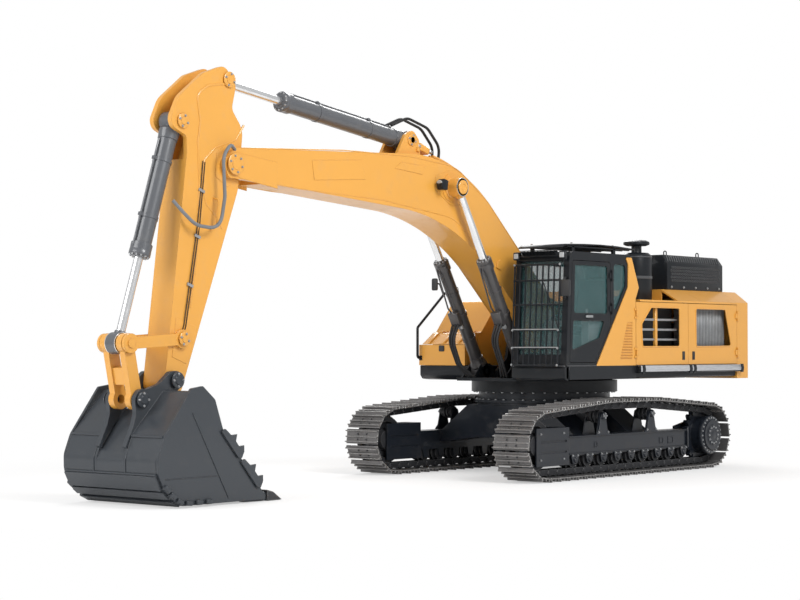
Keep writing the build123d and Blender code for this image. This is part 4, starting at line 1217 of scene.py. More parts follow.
@dataclass
class Housing(Assembly):
    """Fittings of the side panels, the step, the engine cover and the deck."""

    side: float = 1.500
    grille_x: Flat = (-3.253, -1.592)
    grille_y: Flat = (-0.650, 1.190)
    rim: Flat = (3.165, 3.295)
    slots: int = 24

    def build(self) -> None:
        """Add every piece."""
        self._windows()
        self._latches()
        self._step()
        self._grille()
        self._cleaner()
        self._deck()

    def _loop(self, outline: Sequence[Flat], y: float, radius: float) -> bpy.types.Object:
        """Return a rounded bar along a closed side-view outline.

        Args:
            outline: (x, z) rows.
            y: where it lies across the width.
            radius: of the bar.

        Returns:
            The bar.
        """
        start = ((outline[0][0] + outline[-1][0]) / 2, (outline[0][1] + outline[-1][1]) / 2)
        points = [(start[0], y, start[1])] + [(x, y, z) for x, z in outline] + [(start[0], y, start[1])]
        return self.tube(points, radius, 0.045)

    def _windows(self) -> None:
        """Add the raised window rims and what shows behind the windows."""
        front = ((-0.640, 2.460), (-1.440, 2.460), (-1.440, 1.870), (-0.400, 1.870), (-0.380, 2.210))
        rear = ((-1.910, 2.460), (-2.800, 2.460), (-2.980, 1.880), (-1.920, 1.870))
        for outline, name in ((front, "front"), (rear, "rear")):
            rim = self._loop(outline, self.side, 0.011)
            self.finish([rim], "window_rim_" + name, "service_door_" + name, Finish.BODY)
        shelves = [self.block((-1.500, -0.420), (1.300, 1.430), (z, z + 0.035), 0.006)
                   for z in (1.960, 2.110, 2.260)]
        self.finish(shelves, "bay_shelves", "upper", Finish.ZINC)
        post = self.block((-0.900, -0.840), (1.400, 1.450), (1.640, 2.500), 0.008)
        self.finish([post], "bay_post", "upper", Finish.BODY)
        back = self.block((-1.600, -0.300), (1.240, 1.260), (1.620, 2.500), 0.004)
        self.finish([back], "bay_back", "upper", Finish.TRIM)
        fins = [self.block((-2.940 + i * 0.045, -2.928 + i * 0.045),
                           (1.375, 1.395), (1.700, 2.470), 0.002) for i in range(25)]
        self.finish(fins, "cooler_fins", "upper", Finish.ZINC)

    def _latches(self) -> None:
        """Add the doors' flush latches."""
        for x, body in ((-1.550, "service_door_front"), (-1.840, "service_door_rear")):
            cup = self.plate(((x - 0.036, 1.670), (x + 0.036, 1.670), (x + 0.036, 1.800),
                              (x - 0.036, 1.800)), self.side - 0.002, self.side + 0.008, 0.004)
            pull = self.block((x - 0.022, x + 0.022), (self.side + 0.006, self.side + 0.014),
                              (1.690, 1.745))
            self.finish([cup, pull], "latch_" + body, body, Finish.TRIM)

    def _step(self) -> None:
        """Add the bare tread plate of the side step and its black brackets."""
        tread = ((1.478, 1.5855), (1.562, 1.5855), (1.566, 1.580),
                 (1.566, 1.500), (1.572, 1.500), (1.572, 1.586), (1.566, 1.592), (1.478, 1.592))
        plate = self.plate(tread, -3.236, -0.262, 0.002, "X")
        self.finish([plate], "step_tread", "upper", Finish.STEP)
        parts = []
        for x in (-3.190, -1.760, -1.640, -0.320):
            chevron = ((x - 0.035, 1.470), (x + 0.035, 1.470),
                       (x + 0.015, 1.535), (x + 0.035, 1.600), (x - 0.035, 1.600), (x - 0.055, 1.535))
            parts.append(self.plate(chevron, 1.560, 1.582, 0.003))
        self.finish(parts, "step_brackets", "upper", Finish.BLACK)
        guard = self.block((-3.140, -0.340), (1.440, 1.470), (1.405, 1.470), 0.006)
        self.finish([guard], "sill_plate", "upper", Finish.UMBER)

    def _grille(self) -> None:
        """Replace the engine cover: sloping rims, slots, perforations, eyes and foot bolts."""
        (x0, x1), (y0, y1), (low, high) = self.grille_x, self.grille_y, self.rim
        outline = ((y0, 2.751), (y1, 2.751), (y1, low), (y1 - 0.095, high), (y0 + 0.095, high), (y0, low))
        cover = self.plate(outline, x0, x1, 0.010, "X", 2)
        made = self.finish([cover], "engine_cover", "upper", Finish.BLACK)
        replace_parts(made, "grille_box")
        slope = math.atan2(high - low, -0.095)
        middle = (y1 - 0.0475, (low + high) / 2)
        turn = Matrix.Rotation(slope, 4, "X") @ Matrix.Rotation(math.radians(28), 4, "Z")
        lip = self.block((-0.011, 0.011), (-0.062, 0.062), (-0.008, 0.002), 0.003)
        places = []
        for i in range(self.slots):
            x = x0 + 0.070 + i * (x1 - x0 - 0.140) / (self.slots - 1)
            places.append(Matrix.Translation((x, middle[0], middle[1])) @ turn)
        lips = self.copies(lip, places)
        self.finish(lips, "rim_louvres", "upper", Finish.SLATE)
        ring = self.lathe(((0.020, 0.000), (0.020, 0.004), (0.014, 0.004), (0.012, -0.002)),
                          (0, 0, 0), "Y", 8)
        spots = []
        for row in range(5):
            for i in range(30):
                x = x0 + 0.090 + (i + 0.5 * (row % 2)) * (x1 - x0 - 0.180) / 30
                spots.append(Matrix.Translation((x, y1, 2.900 + row * 0.050)))
        self.finish(self.copies(ring, spots), "perforations", "upper", Finish.SLATE)
        rows = [((x0 + 0.12 + i * (x1 - x0 - 0.24) / 4, y1, 2.795), (0, 1, 0)) for i in range(5)]
        self.finish(self.bolts(rows, 0.016), "cover_bolts", "upper", Finish.ZINC)
        eyes = []
        for x in (-1.750, -2.700):
            loop = [(x - 0.035, y1 - 0.14, high - 0.01), (x - 0.040, y1 - 0.14, high + 0.060),
                    (x + 0.040, y1 - 0.14, high + 0.060), (x + 0.035, y1 - 0.14, high - 0.01)]
            eyes.append(self.tube(loop, 0.009, 0.035))
        self.finish(eyes, "cover_eyes", "upper", Finish.BLACK)

    def _cleaner(self) -> None:
        """Replace the intake with a canister, its neck, cap and clamp band."""
        at = (-1.080, 0.960, 0.0)
        can = ((0, 2.560), (0.215, 2.560), (0.235, 2.590), (0.235, 3.240),
               (0.228, 3.262), (0.180, 3.302), (0.082, 3.306), (0.078, 3.320), (0.078, 3.420), (0, 3.420))
        cap = ((0, 3.405), (0.150, 3.410), (0.196, 3.428),
               (0.202, 3.445), (0.196, 3.470), (0.150, 3.492), (0.060, 3.502), (0, 3.502))
        parts = [self.lathe(can, at, "Z", 40), self.lathe(cap, at, "Z", 40)]
        made = self.finish(parts, "air_cleaner_can", "upper", Finish.BLACK)
        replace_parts(made, "air_cleaner")
        band = ((0.233, 2.900), (0.243, 2.904), (0.243, 2.944), (0.233, 2.948))
        rim = ((0.233, 3.225), (0.241, 3.229), (0.241, 3.245), (0.233, 3.249))
        hoops = [self.lathe(band, at, "Z", 40), self.lathe(rim, at, "Z", 40)]
        self.finish(hoops, "air_cleaner_bands", "upper", Finish.SLATE)

    def _deck(self) -> None:
        """Add the deck's front edge, the lid's ribs and latch, and the rail's foot."""
        edge = ((1.470, 1.385), (1.545, 1.400), (1.560, 1.440),
                (1.560, 1.560), (1.545, 1.590), (1.470, 1.595))
        beams = [self.plate(edge, 0.545, 1.478, 0.006)]
        side = ((-0.240, 1.400), (1.470, 1.400), (1.470, 1.595), (-0.240, 1.595))
        beams.append(self.plate(side, 1.470, 1.492, 0.006))
        beams.append(self.block((-3.158, 1.530), (0.545, 1.478), (1.412, 1.588), 0.010))
        beams.append(self.block((-3.250, -0.250), (1.472, 1.560), (1.482, 1.584), 0.006))
        right = ((-3.158, 1.400), (0.980, 1.372), (1.120, 1.386),
                 (1.168, 1.440), (1.168, 1.588), (-3.158, 1.588))
        beams.append(self.plate(right, -1.480, -0.545, 0.010))
        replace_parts(self.finish(beams, "deck_edge", "upper", Finish.BLACK), "side_decks")
        # Grey lip along the top edge of the gloss black deck: its lighter colour is a painted highlight,
        # standing in for the light line along that edge.
        lip = self.tube([(-0.240, 1.490, 1.598), (1.500, 1.490, 1.598),
                         (1.556, 1.440, 1.598), (1.556, 0.560, 1.598)], 0.008, 0.05)
        self.finish([lip], "deck_lip", "upper", Finish.SLATE)
        ribs = [self.plate(((0.905, 2.070), (0.930, 2.086), (1.135, 1.945), (1.150, 1.912)),
                           y, y + 0.040, 0.005) for y in (-1.340, -1.060, -0.780)]
        self.finish(ribs, "lid_ribs", "tool_box_lid", Finish.BODY)
        latch = self.block((1.158, 1.176), (-1.110, -1.010), (1.800, 1.890), 0.006)
        self.finish([latch], "tool_box_latch", "upper", Finish.TRIM)
        feet = [self.block((1.158, 1.172), (-1.500, -1.440), (z, z + 0.07), 0.005) for z in (1.665,)]
        self.finish(feet, "rail_feet", "upper", Finish.BLACK)


@dataclass
class Cab(Assembly):
    """What is fastened in and on the cab."""

    foot: Flat = (1.540, 1.590)
    head: Flat = (1.450, 3.220)
    bars: int = 9

    def build(self) -> None:
        """Add every piece."""
        self._guard()
        self._roof()
        self._lamps()
        self._mirrors()
        self._door()
        self._wiper()
        self._seat()

    def _face(self, z: float) -> float:
        """Return x of the cab's front at a height."""
        (x0, z0), (x1, z1) = self.foot, self.head
        return x0 + (x1 - x0) * (z - z0) / (z1 - z0)

    def _guard(self) -> None:
        """Replace the front grille by round bars that lean with the windscreen."""
        first, last = 0.615, 1.407
        stand = 0.105
        parts = []
        for i in range(self.bars):
            y = first + i * (last - first) / (self.bars - 1)
            parts.append(self.tube([(self._face(z) + stand, y, z) for z in (1.600, 3.047)], 0.013))
        for z in (1.610, 1.850, 2.105, 2.465, 2.810, 3.034):
            x = self._face(z) + stand
            parts.append(self.tube([(x, first - 0.012, z), (x, last + 0.012, z)], 0.015))
        for z in (1.625, 3.010):
            for y in (0.690, 1.340):
                x = self._face(z)
                parts.append(self.block((x, x + stand), (y - 0.018, y + 0.018), (z - 0.012, z + 0.012)))
        made = self.finish(parts, "windscreen_guard", "upper", Finish.BLACK)
        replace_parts(made, "front_guard")
        rods = []
        for z in (1.850, 2.105):
            x = self._face(z) + stand + 0.018
            rods.append(self.tube([(x, first, z + 0.01), (x, last, z + 0.01)], 0.008))
        self.finish(rods, "guard_rods", "upper", Finish.ZINC)
        rows = [((self._face(z) + stand + 0.012, y, z), (1, 0, 0))
                for z in (1.610, 3.034, 1.850, 2.105) for y in (first, last)]
        self.finish(self.bolts(rows, 0.014), "guard_bolts", "upper", Finish.ZINC)

    def _roof(self) -> None:
        """Replace the roof guard by a bowed plate on posts."""
        top = 3.350
        bow = ((-0.411, top - 0.045), (0.500, top - 0.012),
               (1.380, top - 0.045), (1.440, top - 0.075), (1.440, top - 0.055), (1.385, top - 0.020),
               (0.900, top - 0.002), (0.500, top + 0.004), (0.050, top - 0.002), (-0.411, top - 0.025))
        parts = [self.plate(bow, 0.580, 1.360, 0.003)]
        for y in (0.640, 0.830, 1.020, 1.210, 1.330):
            parts.append(self.block((-0.300, 1.300), (y - 0.012, y + 0.012),
                                    (top - 0.062, top - 0.040), 0.003))
        rows = []
        for x in (0.100, 1.150):
            for y in (0.620, 1.320):
                parts.append(self.block((x - 0.030, x + 0.030),
                                        (y - 0.022, y + 0.022), (3.218, top - 0.030)))
                rows.append(((x, y - 0.01, top - 0.004), (0, 0, 1)))
        made = self.finish(parts, "roof_shield", "upper", Finish.BLACK)
        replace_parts(made, "roof_guard")
        self.finish(self.bolts(rows, 0.018), "roof_bolts", "upper", Finish.ZINC)

    def _lamps(self) -> None:
        """Add two square lamps and the slatted visor between them."""
        face = self._face(3.100)
        shells, lenses = [], []
        for y in (0.625, 1.425):
            back = self.block((face + 0.040, face + 0.100), (y - 0.058, y + 0.058), (3.108, 3.222), 0.012)
            stem = self.block((face - 0.010, face + 0.060), (y - 0.015, y + 0.015), (3.080, 3.112))
            shells += [back, stem]
            lens = self.block((face + 0.096, face + 0.108), (y - 0.040, y + 0.040), (3.128, 3.202), 0.006)
            lenses.append(lens)
        slat = self.plate(((-0.045, -0.038), (0.045, -0.038), (0.045, 0.038), (-0.045, 0.038)),
                          -0.003, 0.003, 0.001)
        places = []
        for i in range(11):
            y = 0.740 + i * 0.058
            spot = Matrix.Translation((face + 0.075, y, 3.198))
            places.append(spot @ Matrix.Rotation(math.radians(38), 4, "X"))
        shells += self.copies(slat, places)
        for z in (3.158, 3.238):
            shells.append(self.block((face + 0.030, face + 0.120),
                                     (0.700, 1.350), (z - 0.004, z + 0.004), 0.002))
        shells.append(self.block((face - 0.005, face + 0.030), (0.600, 1.450), (3.092, 3.110), 0.004))
        self.finish(shells, "visor_and_lamps", "upper", Finish.BLACK)
        self.finish(lenses, "lamp_lenses", "upper", Finish.LENS)

    def _mirrors(self) -> None:
        """Add the mirror on the cab's pillar and the one over the right-hand rail."""
        heads, arms = [], []
        x = self._face(2.700)
        outline = ((1.412, 2.580), (1.560, 2.580), (1.575, 2.620),
                   (1.575, 2.790), (1.550, 2.815), (1.420, 2.815), (1.400, 2.780), (1.400, 2.610))
        heads.append(self.plate(outline, x + 0.060, x + 0.105, 0.012, "X", 2))
        arms.append(self.tube([(x - 0.005, 1.455, 2.840),
                               (x + 0.080, 1.470, 2.850), (x + 0.080, 1.490, 2.780)], 0.012, 0.03))
        arms.append(self.tube([(x - 0.005, 1.455, 2.550),
                               (x + 0.080, 1.470, 2.545), (x + 0.080, 1.490, 2.600)], 0.012, 0.03))
        right = [((y - 1.490) * 0.6 - 1.500, (z - 2.700) * 0.8 + 2.830) for y, z in outline]
        heads.append(self.plate(right, 0.760, 0.800, 0.012, "X", 2))
        arms.append(self.tube([(0.600, -1.475, 2.665), (0.690, -1.480, 2.840), (0.770, -1.490, 2.840)],
                              0.013, 0.04))
        self.finish(heads, "mirror_heads", "upper", Finish.TRIM)
        self.finish(arms, "mirror_arms", "upper", Finish.BLACK)

    def _door(self) -> None:
        """Add the door's handle, seals and lower mark, and the skin's light louvre lips."""
        grip = self.plate(((0.900, 2.285), (1.060, 2.285),
                           (1.070, 2.300), (1.060, 2.320), (0.900, 2.320)), 1.490, 1.512, 0.004)
        self.finish([grip], "cab_handle", "cab_door", Finish.ZINC)
        upper = ((1.350, 2.340), (1.320, 3.040), (0.490, 3.040), (0.490, 2.340))
        lower = ((1.395, 1.810), (1.370, 2.250), (0.560, 2.250), (0.700, 1.990))
        seals = []
        for outline in (upper, lower):
            points = [(x, 1.480, z) for x, z in outline]
            start = tuple((Vector(points[0]) + Vector(points[-1])) / 2)
            seals.append(self.tube([start, *points, start], 0.009, 0.05))
        self.finish(seals, "door_seals", "cab_door", Finish.RUBBER)
        lips = []
        for i in range(13):
            z = 1.714 + i * 0.040
            front = 0.180 - i * 0.014
            rows = ((1.497, z - 0.006), (1.509, z - 0.004), (1.497, z + 0.008))
            lips.append(self.plate(rows, -0.120, front, 0.0, "X"))
        self.finish(lips, "skin_louvres", "upper", Finish.BODY)

    def _wiper(self) -> None:
        """Add the windscreen wiper."""
        low, high = 2.150, 2.780
        arm = self.tube([(self._face(low) + 0.012, 1.330, low), (self._face(high) + 0.012, 1.060, high)],
                        0.008)
        blade = self.tube([(self._face(2.45) + 0.008, 1.020, 2.450),
                           (self._face(3.0) + 0.008, 1.045, 3.000)], 0.007)
        self.finish([arm, blade], "wiper", "upper", Finish.RUBBER)

    def _seat(self) -> None:
        """Replace the seat by crowned cushions on a moulded base."""
        soft = []
        cushion = ((0.240, 2.060), (0.790, 2.070), (0.800, 2.160), (0.250, 2.180))
        back = ((0.200, 2.150), (0.330, 2.150), (0.250, 2.860), (0.110, 2.840))
        head = ((0.110, 2.880), (0.240, 2.880), (0.225, 3.040), (0.120, 3.040))
        pads = (
            ("seat_cushion", cushion, (0.780, 1.280)),
            ("seat_back", back, (0.800, 1.260)),
            ("seat_head", head, (0.900, 1.160)),
        )
        for name, outline, y in pads:
            pad = self.plate(outline, *y, 0.040, "Y", 3)
            self.edit(pad)
            bpy.ops.mesh.subdivide(number_cuts=1, smoothness=0.6)
            bpy.ops.object.mode_set(mode="OBJECT")
            made = self.finish([pad], name, "upper", Finish.SEAT)
            soft.append(made)
        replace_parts(soft[0], "seat")
        base = self.block((0.330, 0.700), (0.860, 1.200), (1.650, 2.062), 0.03)
        post = self.block((0.150, 0.190), (1.000, 1.060), (2.800, 2.900), 0.01)
        self.finish([base, post], "seat_base", "upper", Finish.TRIM)


# ------------------------------------------------------------------ attachment


@dataclass
class Attachment(Assembly):
    """Fittings of the boom, the arm, the links and the bucket."""

    boom_half: float = 0.270
    arm_half: float = 0.190

    def build(self) -> None:
        """Add every piece."""
        self._pins()
        self._boom()
        self._arm()
        self._bucket()

    def _pin_cap(self, at: Flat, face: float, radius: float, count: int) -> tuple[list, list]:
        """Return both sides' caps and bolt rows of one pin.

        Args:
            at: the pin, in its side-view frame.
            face: y of the face that the cap lies on.
            radius: of the cap.
            count: bolts on each cap.

        Returns:
            The caps and the bolt rows.
        """
        caps, rows = [], []
        for side in (-1, 1):
            profile = ((0, face), (radius, face), (radius, face + 0.010), (radius - 0.010, face + 0.016),
                       (radius * 0.55, face + 0.016), (radius * 0.5, face + 0.024), (0, face + 0.024))
            caps.append(self.lathe(on_side(profile, side), (at[0], 0, at[1]), "Y", 28))
            spot = (at[0], side * (face + 0.016), at[1])
            rows += self.circle(spot, radius * 0.76, count, (0, side, 0))
        return caps, rows

    def _pins(self) -> None:
        """Add the pin caps with their bolts."""
        table = (("boom_tip", "boom", BOOM, (7.060, 0.0), 0.295, 0.135, 6),
                 ("boom_eye", "boom", BOOM, (2.953, 1.239), 0.288, 0.150, 6),
                 ("arm_base", "boom", BOOM, (3.852, 1.612), 0.176, 0.085, 4),
                 ("arm_eye", "arm", ARM, (-0.980, 0.376), 0.200, 0.100, 4),
                 ("bucket_base", "arm", ARM, (-0.169, 0.912), 0.200, 0.090, 4),
                 ("idler", "arm", ARM, (2.310, 0.035), 0.250, 0.085, 4),
                 ("bucket", "bucket", BUCKET, (0.0, 0.0), 0.290, 0.100, 4),
                 ("link", "bucket", BUCKET, (0.550, -0.220), 0.290, 0.095, 4),)
        for name, body, place, at, face, radius, count in table:
            caps, rows = self._pin_cap(at, face, radius, count)
            finish = Finish.BUCKET if body == "bucket" else Finish.BODY
            self.finish(caps, "pin_caps_" + name, body, finish, place)
            self.finish(self.bolts(rows, 0.013), "pin_bolts_" + name, body, Finish.ZINC, place)

    def _boom(self) -> None:
        """Add flange lips, doublers, the blank plate, the lamp and the manifold."""
        half = self.boom_half
        under = ((0.060, -0.315), (0.700, -0.030), (2.696, 0.871),
                 (4.300, 0.560), (5.850, 0.130), (6.700, -0.075))
        over = ((-0.150, 0.325), (1.400, 1.038), (2.100, 1.350),
                (2.930, 1.565), (3.900, 1.340), (5.200, 0.920), (7.000, 0.238))
        lips = []
        for side in (-1, 1):
            for path in (under, over):
                points = [(u, side * (half - 0.002), v) for u, v in path]
                lips.append(self.tube(points, 0.008, 0.9))
            for outline in (((6.250, -0.020), (6.900, -0.130),
                             (7.130, -0.120), (7.190, 0.030), (7.050, 0.160), (6.350, 0.300)),
                            ((2.600, 1.100), (2.900, 1.000), (3.250, 1.080),
                             (3.330, 1.280), (3.050, 1.470), (2.680, 1.380)),
                            ((3.560, 1.330), (4.080, 1.190), (4.180, 1.060), (3.600, 1.190)),):
                span = reach(side, half - 0.001, half + 0.006)
                lips.append(self.plate(outline, *span, 0.004))
        self.finish(lips, "boom_flanges", "boom", Finish.BODY, BOOM)
        lug = self.plate(((1.520, 0.500), (1.640, 0.505), (1.640, 0.600), (1.580, 0.650), (1.520, 0.610)),
                         half - 0.002, half + 0.020, 0.006)
        self.finish([lug], "boom_lug", "boom", Finish.BODY, BOOM)
        blank = ((4.700, 0.700), (4.850, 0.920), (5.760, 0.560), (5.640, 0.330))
        plate = self.plate(blank, half + 0.001, half + 0.005, 0.002)
        self.finish([plate], "blank_plate", "boom", Finish.BODY, BOOM)
        stem = self.block((3.180, 3.220), (half, half + 0.060), (1.130, 1.190), 0.006)
        head = self.plate(((3.180, 1.110), (3.280, 1.090), (3.330, 1.160),
                           (3.300, 1.240), (3.200, 1.250)), half + 0.040, half + 0.150, 0.012, "Y", 2)
        self.finish([stem, head], "boom_lamp", "boom", Finish.BLACK, BOOM)
        lens = self.lathe(((0, -0.004), (0.048, -0.004), (0.048, 0.006), (0, 0.010)), (0, 0, 0), "X", 20)
        spot = Matrix.Translation((3.318, half + 0.095, 1.165))
        turn = Matrix.Rotation(math.radians(30), 4, "Y")
        self.finish([lens], "boom_lamp_lens", "boom", Finish.LENS, BOOM @ (spot @ turn))
        block = self.block((3.420, 3.640), (-0.160, 0.160), (1.560, 1.660), 0.012)
        blocks = [block, self.block((3.660, 3.720), (-0.200, 0.200), (1.500, 1.560), 0.008)]
        self.finish(blocks, "manifold", "boom", Finish.BODY, BOOM)
        nuts = []
        for y in (-0.150, -0.090, 0.090, 0.150):
            profile = ((0, -0.030), (0.026, -0.030), (0.030, -0.024),
                       (0.030, 0.024), (0.026, 0.030), (0, 0.030))
            nuts.append(self.lathe(profile, (3.400, y, 1.615), "X", 6))
            nuts.append(self.lathe(profile, (3.660, y, 1.600), "X", 6))
        self.finish(nuts, "manifold_nuts", "boom", Finish.ZINC, BOOM, smooth=False)

    def _arm(self) -> None:
        """Add the arm's doublers, grease lines and guide handle."""
        half = self.arm_half
        parts = []
        for side in (-1, 1):
            for outline in (((-0.240, -0.080), (0.120, -0.180),
                             (0.280, -0.060), (0.240, 0.180), (-0.040, 0.260), (-0.260, 0.120)),
                            ((2.080, -0.150), (2.560, -0.150), (2.560, 0.100), (2.100, 0.200)),):
                span = reach(side, half - 0.001, half + 0.005)
                parts.append(self.plate(outline, *span, 0.002))
            ridge = [(-0.945, 0.345), (-0.760, 0.670), (-0.580, 0.800), (-0.454, 0.740),
                     (-0.284, 0.642), (-0.032, 0.594), (0.428, 0.396), (1.166, 0.156), (1.900, 0.020)]
            parts.append(self.tube([(u, side * (half - 0.004), v) for u, v in ridge], 0.016, 0.12))
            wave = [(-0.560, -0.060), (-0.329, 0.006), (-0.094, 0.300),
                    (0.133, 0.420), (0.439, 0.360), (0.624, 0.200), (0.707, -0.032), (0.800, -0.150)]
            parts.append(self.tube([(u, side * (half - 0.006), v) for u, v in wave], 0.014, 0.12))
        self.finish(parts, "arm_doublers", "arm", Finish.BODY, ARM)
        lines, clamps = [], []
        for i in range(2):
            v = 0.070 + i * 0.035
            lines.append(self.tube([(0.150, half + 0.014, 0.340 + v), (0.900, half + 0.014, 0.160 + v),
                                    (2.150, half + 0.014, v - 0.050), (2.280, half + 0.014, v - 0.04)],
                                   0.006, 0.1))
        for u, v in ((0.500, 0.365), (1.050, 0.240), (1.650, 0.150)):
            clamps.append(self.block((u - 0.018, u + 0.018),
                                     (half - 0.002, half + 0.024), (v - 0.075, v + 0.025)))
        self.finish(lines, "arm_lines", "arm", Finish.RUBBER, ARM)
        self.finish(clamps, "arm_clamps", "arm", Finish.ZINC, ARM)
        loop = self.tube([(0.500, half - 0.01, 0.120), (0.520, half + 0.090, 0.100),
                          (0.860, half + 0.090, 0.030), (0.880, half - 0.01, 0.030)], 0.011, 0.05)
        self.finish([loop], "arm_handle", "arm", Finish.BODY, ARM)

    @staticmethod
    def _tucked(rows: Sequence[tuple[float, ...]]) -> list[tuple[float, ...]]:
        """Return an outline with its back drawn in, so that the bucket stays within its room."""
        return [(0.5 + (row[0] - 0.5) * 0.885 if row[0] > 0.5 else row[0], *row[1:]) for row in rows]

    def _bucket(self) -> None:
        """Replace the bucket: wrapped back, side plates, ears, lip, teeth, bars, shrouds and cutters."""
        half, skin = 0.825, 0.036
        sides = ((0.102, -0.060, 0.02), (0.287, -0.085, 0.04), (0.742, -0.640, 0.2),
                 (0.850, -0.880, 0.2), (0.846, -1.060, 0.2), (0.727, -1.252, 0.0), (0.512, -1.405, 0.0),
                 (0.430, -1.440, 0.1), (-0.940, -1.440, 0.01), (-0.940, -1.390, 0.01),
                 (-0.240, -0.600, 0.0), (-0.212, -0.530, 0.03), (-0.098, -0.221, 0.06))
        wrap = ((0.030, -0.130, 0.0), (0.200, -0.115, 0.06),
                (0.735, -0.635, 0.2), (0.855, -0.900, 0.18), (0.850, -1.060, 0.15), (0.735, -1.250, 0.06),
                (0.520, -1.400, 0.06), (0.400, -1.440, 0.06), (-0.940, -1.440, 0.01),
                (-0.940, -1.390, 0.01), (-0.650, -1.404, 0.0), (0.392, -1.406, 0.04),
                (0.508, -1.368, 0.04), (0.708, -1.225, 0.04), (0.816, -1.055, 0.12),
                (0.821, -0.905, 0.15), (0.702, -0.652, 0.17), (0.187, -0.149, 0.04), (0.030, -0.160, 0.0))
        ear = ((-0.118, -0.060, 0.06), (-0.060, 0.118, 0.1),
               (0.090, 0.105, 0.08), (0.260, -0.035, 0.26), (0.450, -0.095, 0.12), (0.600, -0.095, 0.11),
               (0.678, -0.200, 0.09), (0.652, -0.380, 0.16), (0.700, -0.520, 0.2), (0.838, -0.760, 0.008),
               (0.800, -0.790, 0.0), (0.700, -0.640, 0.0), (0.190, -0.148, 0.0), (0.030, -0.160, 0.0))
        middle = ((0.400, -0.330, 0.0), (0.790, -0.815, 0.15), (0.853, -0.915, 0.1),
                  *wrap[4:14], (0.818, -0.925, 0.1), (0.762, -0.835, 0.15), (0.372, -0.352, 0.0))
        body = [self.plate(curved(self._tucked(middle)), -0.229, 0.229, 0.003)]
        for side in (-1, 1):
            body.append(self.plate(curved(self._tucked(wrap)), *reach(side, 0.229, half - skin), 0.003))
            body.append(self.plate(curved(self._tucked(sides)), *reach(side, half - skin, half), 0.004))
            body.append(self.plate(curved(self._tucked(ear)), *reach(side, 0.196, 0.262), 0.006))
        made = self.finish(body, "bucket_shell", "bucket", Finish.BUCKET, BUCKET)
        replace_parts(made, "bucket")
        self._bucket_gear(half)
        self._teeth(half)

    def _teeth(self, half: float) -> None:
        """Add the adapters on the lip and the points on their noses.

        Args:
            half: half the bucket's width.
        """
        adapters, points = [], []
        adapter = ((-0.620, -1.438), (-0.620, -1.460),
                   (-0.950, -1.464), (-1.040, -1.452), (-1.060, -1.405),
                   (-0.960, -1.350), (-0.860, -1.362), (-0.720, -1.385), (-0.640, -1.400))
        tooth = ((-0.990, -1.466), (-1.225, -1.464), (-1.255, -1.458),
                 (-1.225, -1.446), (-1.100, -1.360), (-0.990, -1.330))
        for i in range(5):
            y = -half + 0.090 + i * (2 * half - 0.180) / 4
            adapters.append(self.plate(adapter, y - 0.055, y + 0.055, 0.010))
            points.append(self.plate(tooth, y - 0.082, y + 0.082, 0.012))
        self.finish(adapters, "adapters", "bucket", Finish.BUCKET, BUCKET)
        self.finish(points, "teeth", "bucket", Finish.TOOTH, BUCKET)

    def _bucket_gear(self, half: float) -> None:
        """Add wear bars, shrouds, side cutters, weld ridges and the pins' heads.

        Args:
            half: half the bucket's width.
        """
        parts = []
        for bar in (((0.845, -1.078), (0.872, -1.090), (0.772, -1.258), (0.742, -1.240)),
                    ((0.722, -1.258), (0.742, -1.278), (0.640, -1.360), (0.618, -1.335)),
                    ((0.560, -1.372), (0.575, -1.398), (0.452, -1.452), (0.430, -1.425))):
            parts.append(self.plate(self._tucked(bar), -half + 0.03, half - 0.03, 0.004))
        shrouds = ((0.700, -1.232), (0.600, -1.312), (0.480, -1.385),
                   (0.340, -1.410), (0.180, -1.410), (0.020, -1.410))
        shrouds = self._tucked(shrouds)
        cutter = ((0, 0.060), (0.430, 0.060), (0.470, 0.020), (0.440, -0.060), (0.380, -0.110),
                  (0.330, -0.040), (0.250, -0.040), (0.200, -0.110), (0.140, -0.030), (0.020, -0.010))
        for side in (-1, 1):
            span = reach(side, half - 0.060, half + 0.040)
            for i, (x, z) in enumerate(shrouds):
                (x0, z0), (x1, z1) = shrouds[max(i - 1, 0)], shrouds[min(i + 1, len(shrouds) - 1)]
                block = self.block((-0.050, 0.050), span, (-0.030, 0.030), 0.010)
                block.data.transform(side_frame(x, z, math.degrees(math.atan2(z1 - z0, x1 - x0))))
                parts.append(block)
            for step in (0.0, 0.490):
                plate = self.plate(cutter, *reach(side, half - 0.001, half + 0.030), 0.005)
                turn = math.radians(-131.1)
                place = side_frame(-0.225 + step * math.cos(turn), -0.560 + step * math.sin(turn), -131.1)
                plate.data.transform(place)
                parts.append(plate)
            face = side * (half + 0.002)
            parts.append(self.tube([(0.268, face, -0.375), (-0.318, face, -1.387)], 0.008))
            parts.append(self.tube([(0.690, face, -1.123), (-0.124, face, -1.120)], 0.006))
            edge = self._tucked(((0.735, -0.640), (0.858, -0.905), (0.853, -1.060), (0.800, -1.155)))
            seam = [(x, side * 0.275, z) for x, z in edge]
            parts.append(self.tube(seam, 0.008, 0.15))
        parts.append(self.tube([(0.812, 0.03 - half, -1.068), (0.812, half - 0.03, -1.068)], 0.013))
        for side in (-1, 1):
            parts.append(self.tube([(0.060, side * 0.270, -0.165), (0.060, side * 0.800, -0.165)], 0.045))
            parts.append(self.tube([(0.711, side * 0.270, -0.636), (0.711, side * 0.795, -0.636)], 0.016))
        self.finish(parts, "bucket_gear", "bucket", Finish.BUCKET, BUCKET)


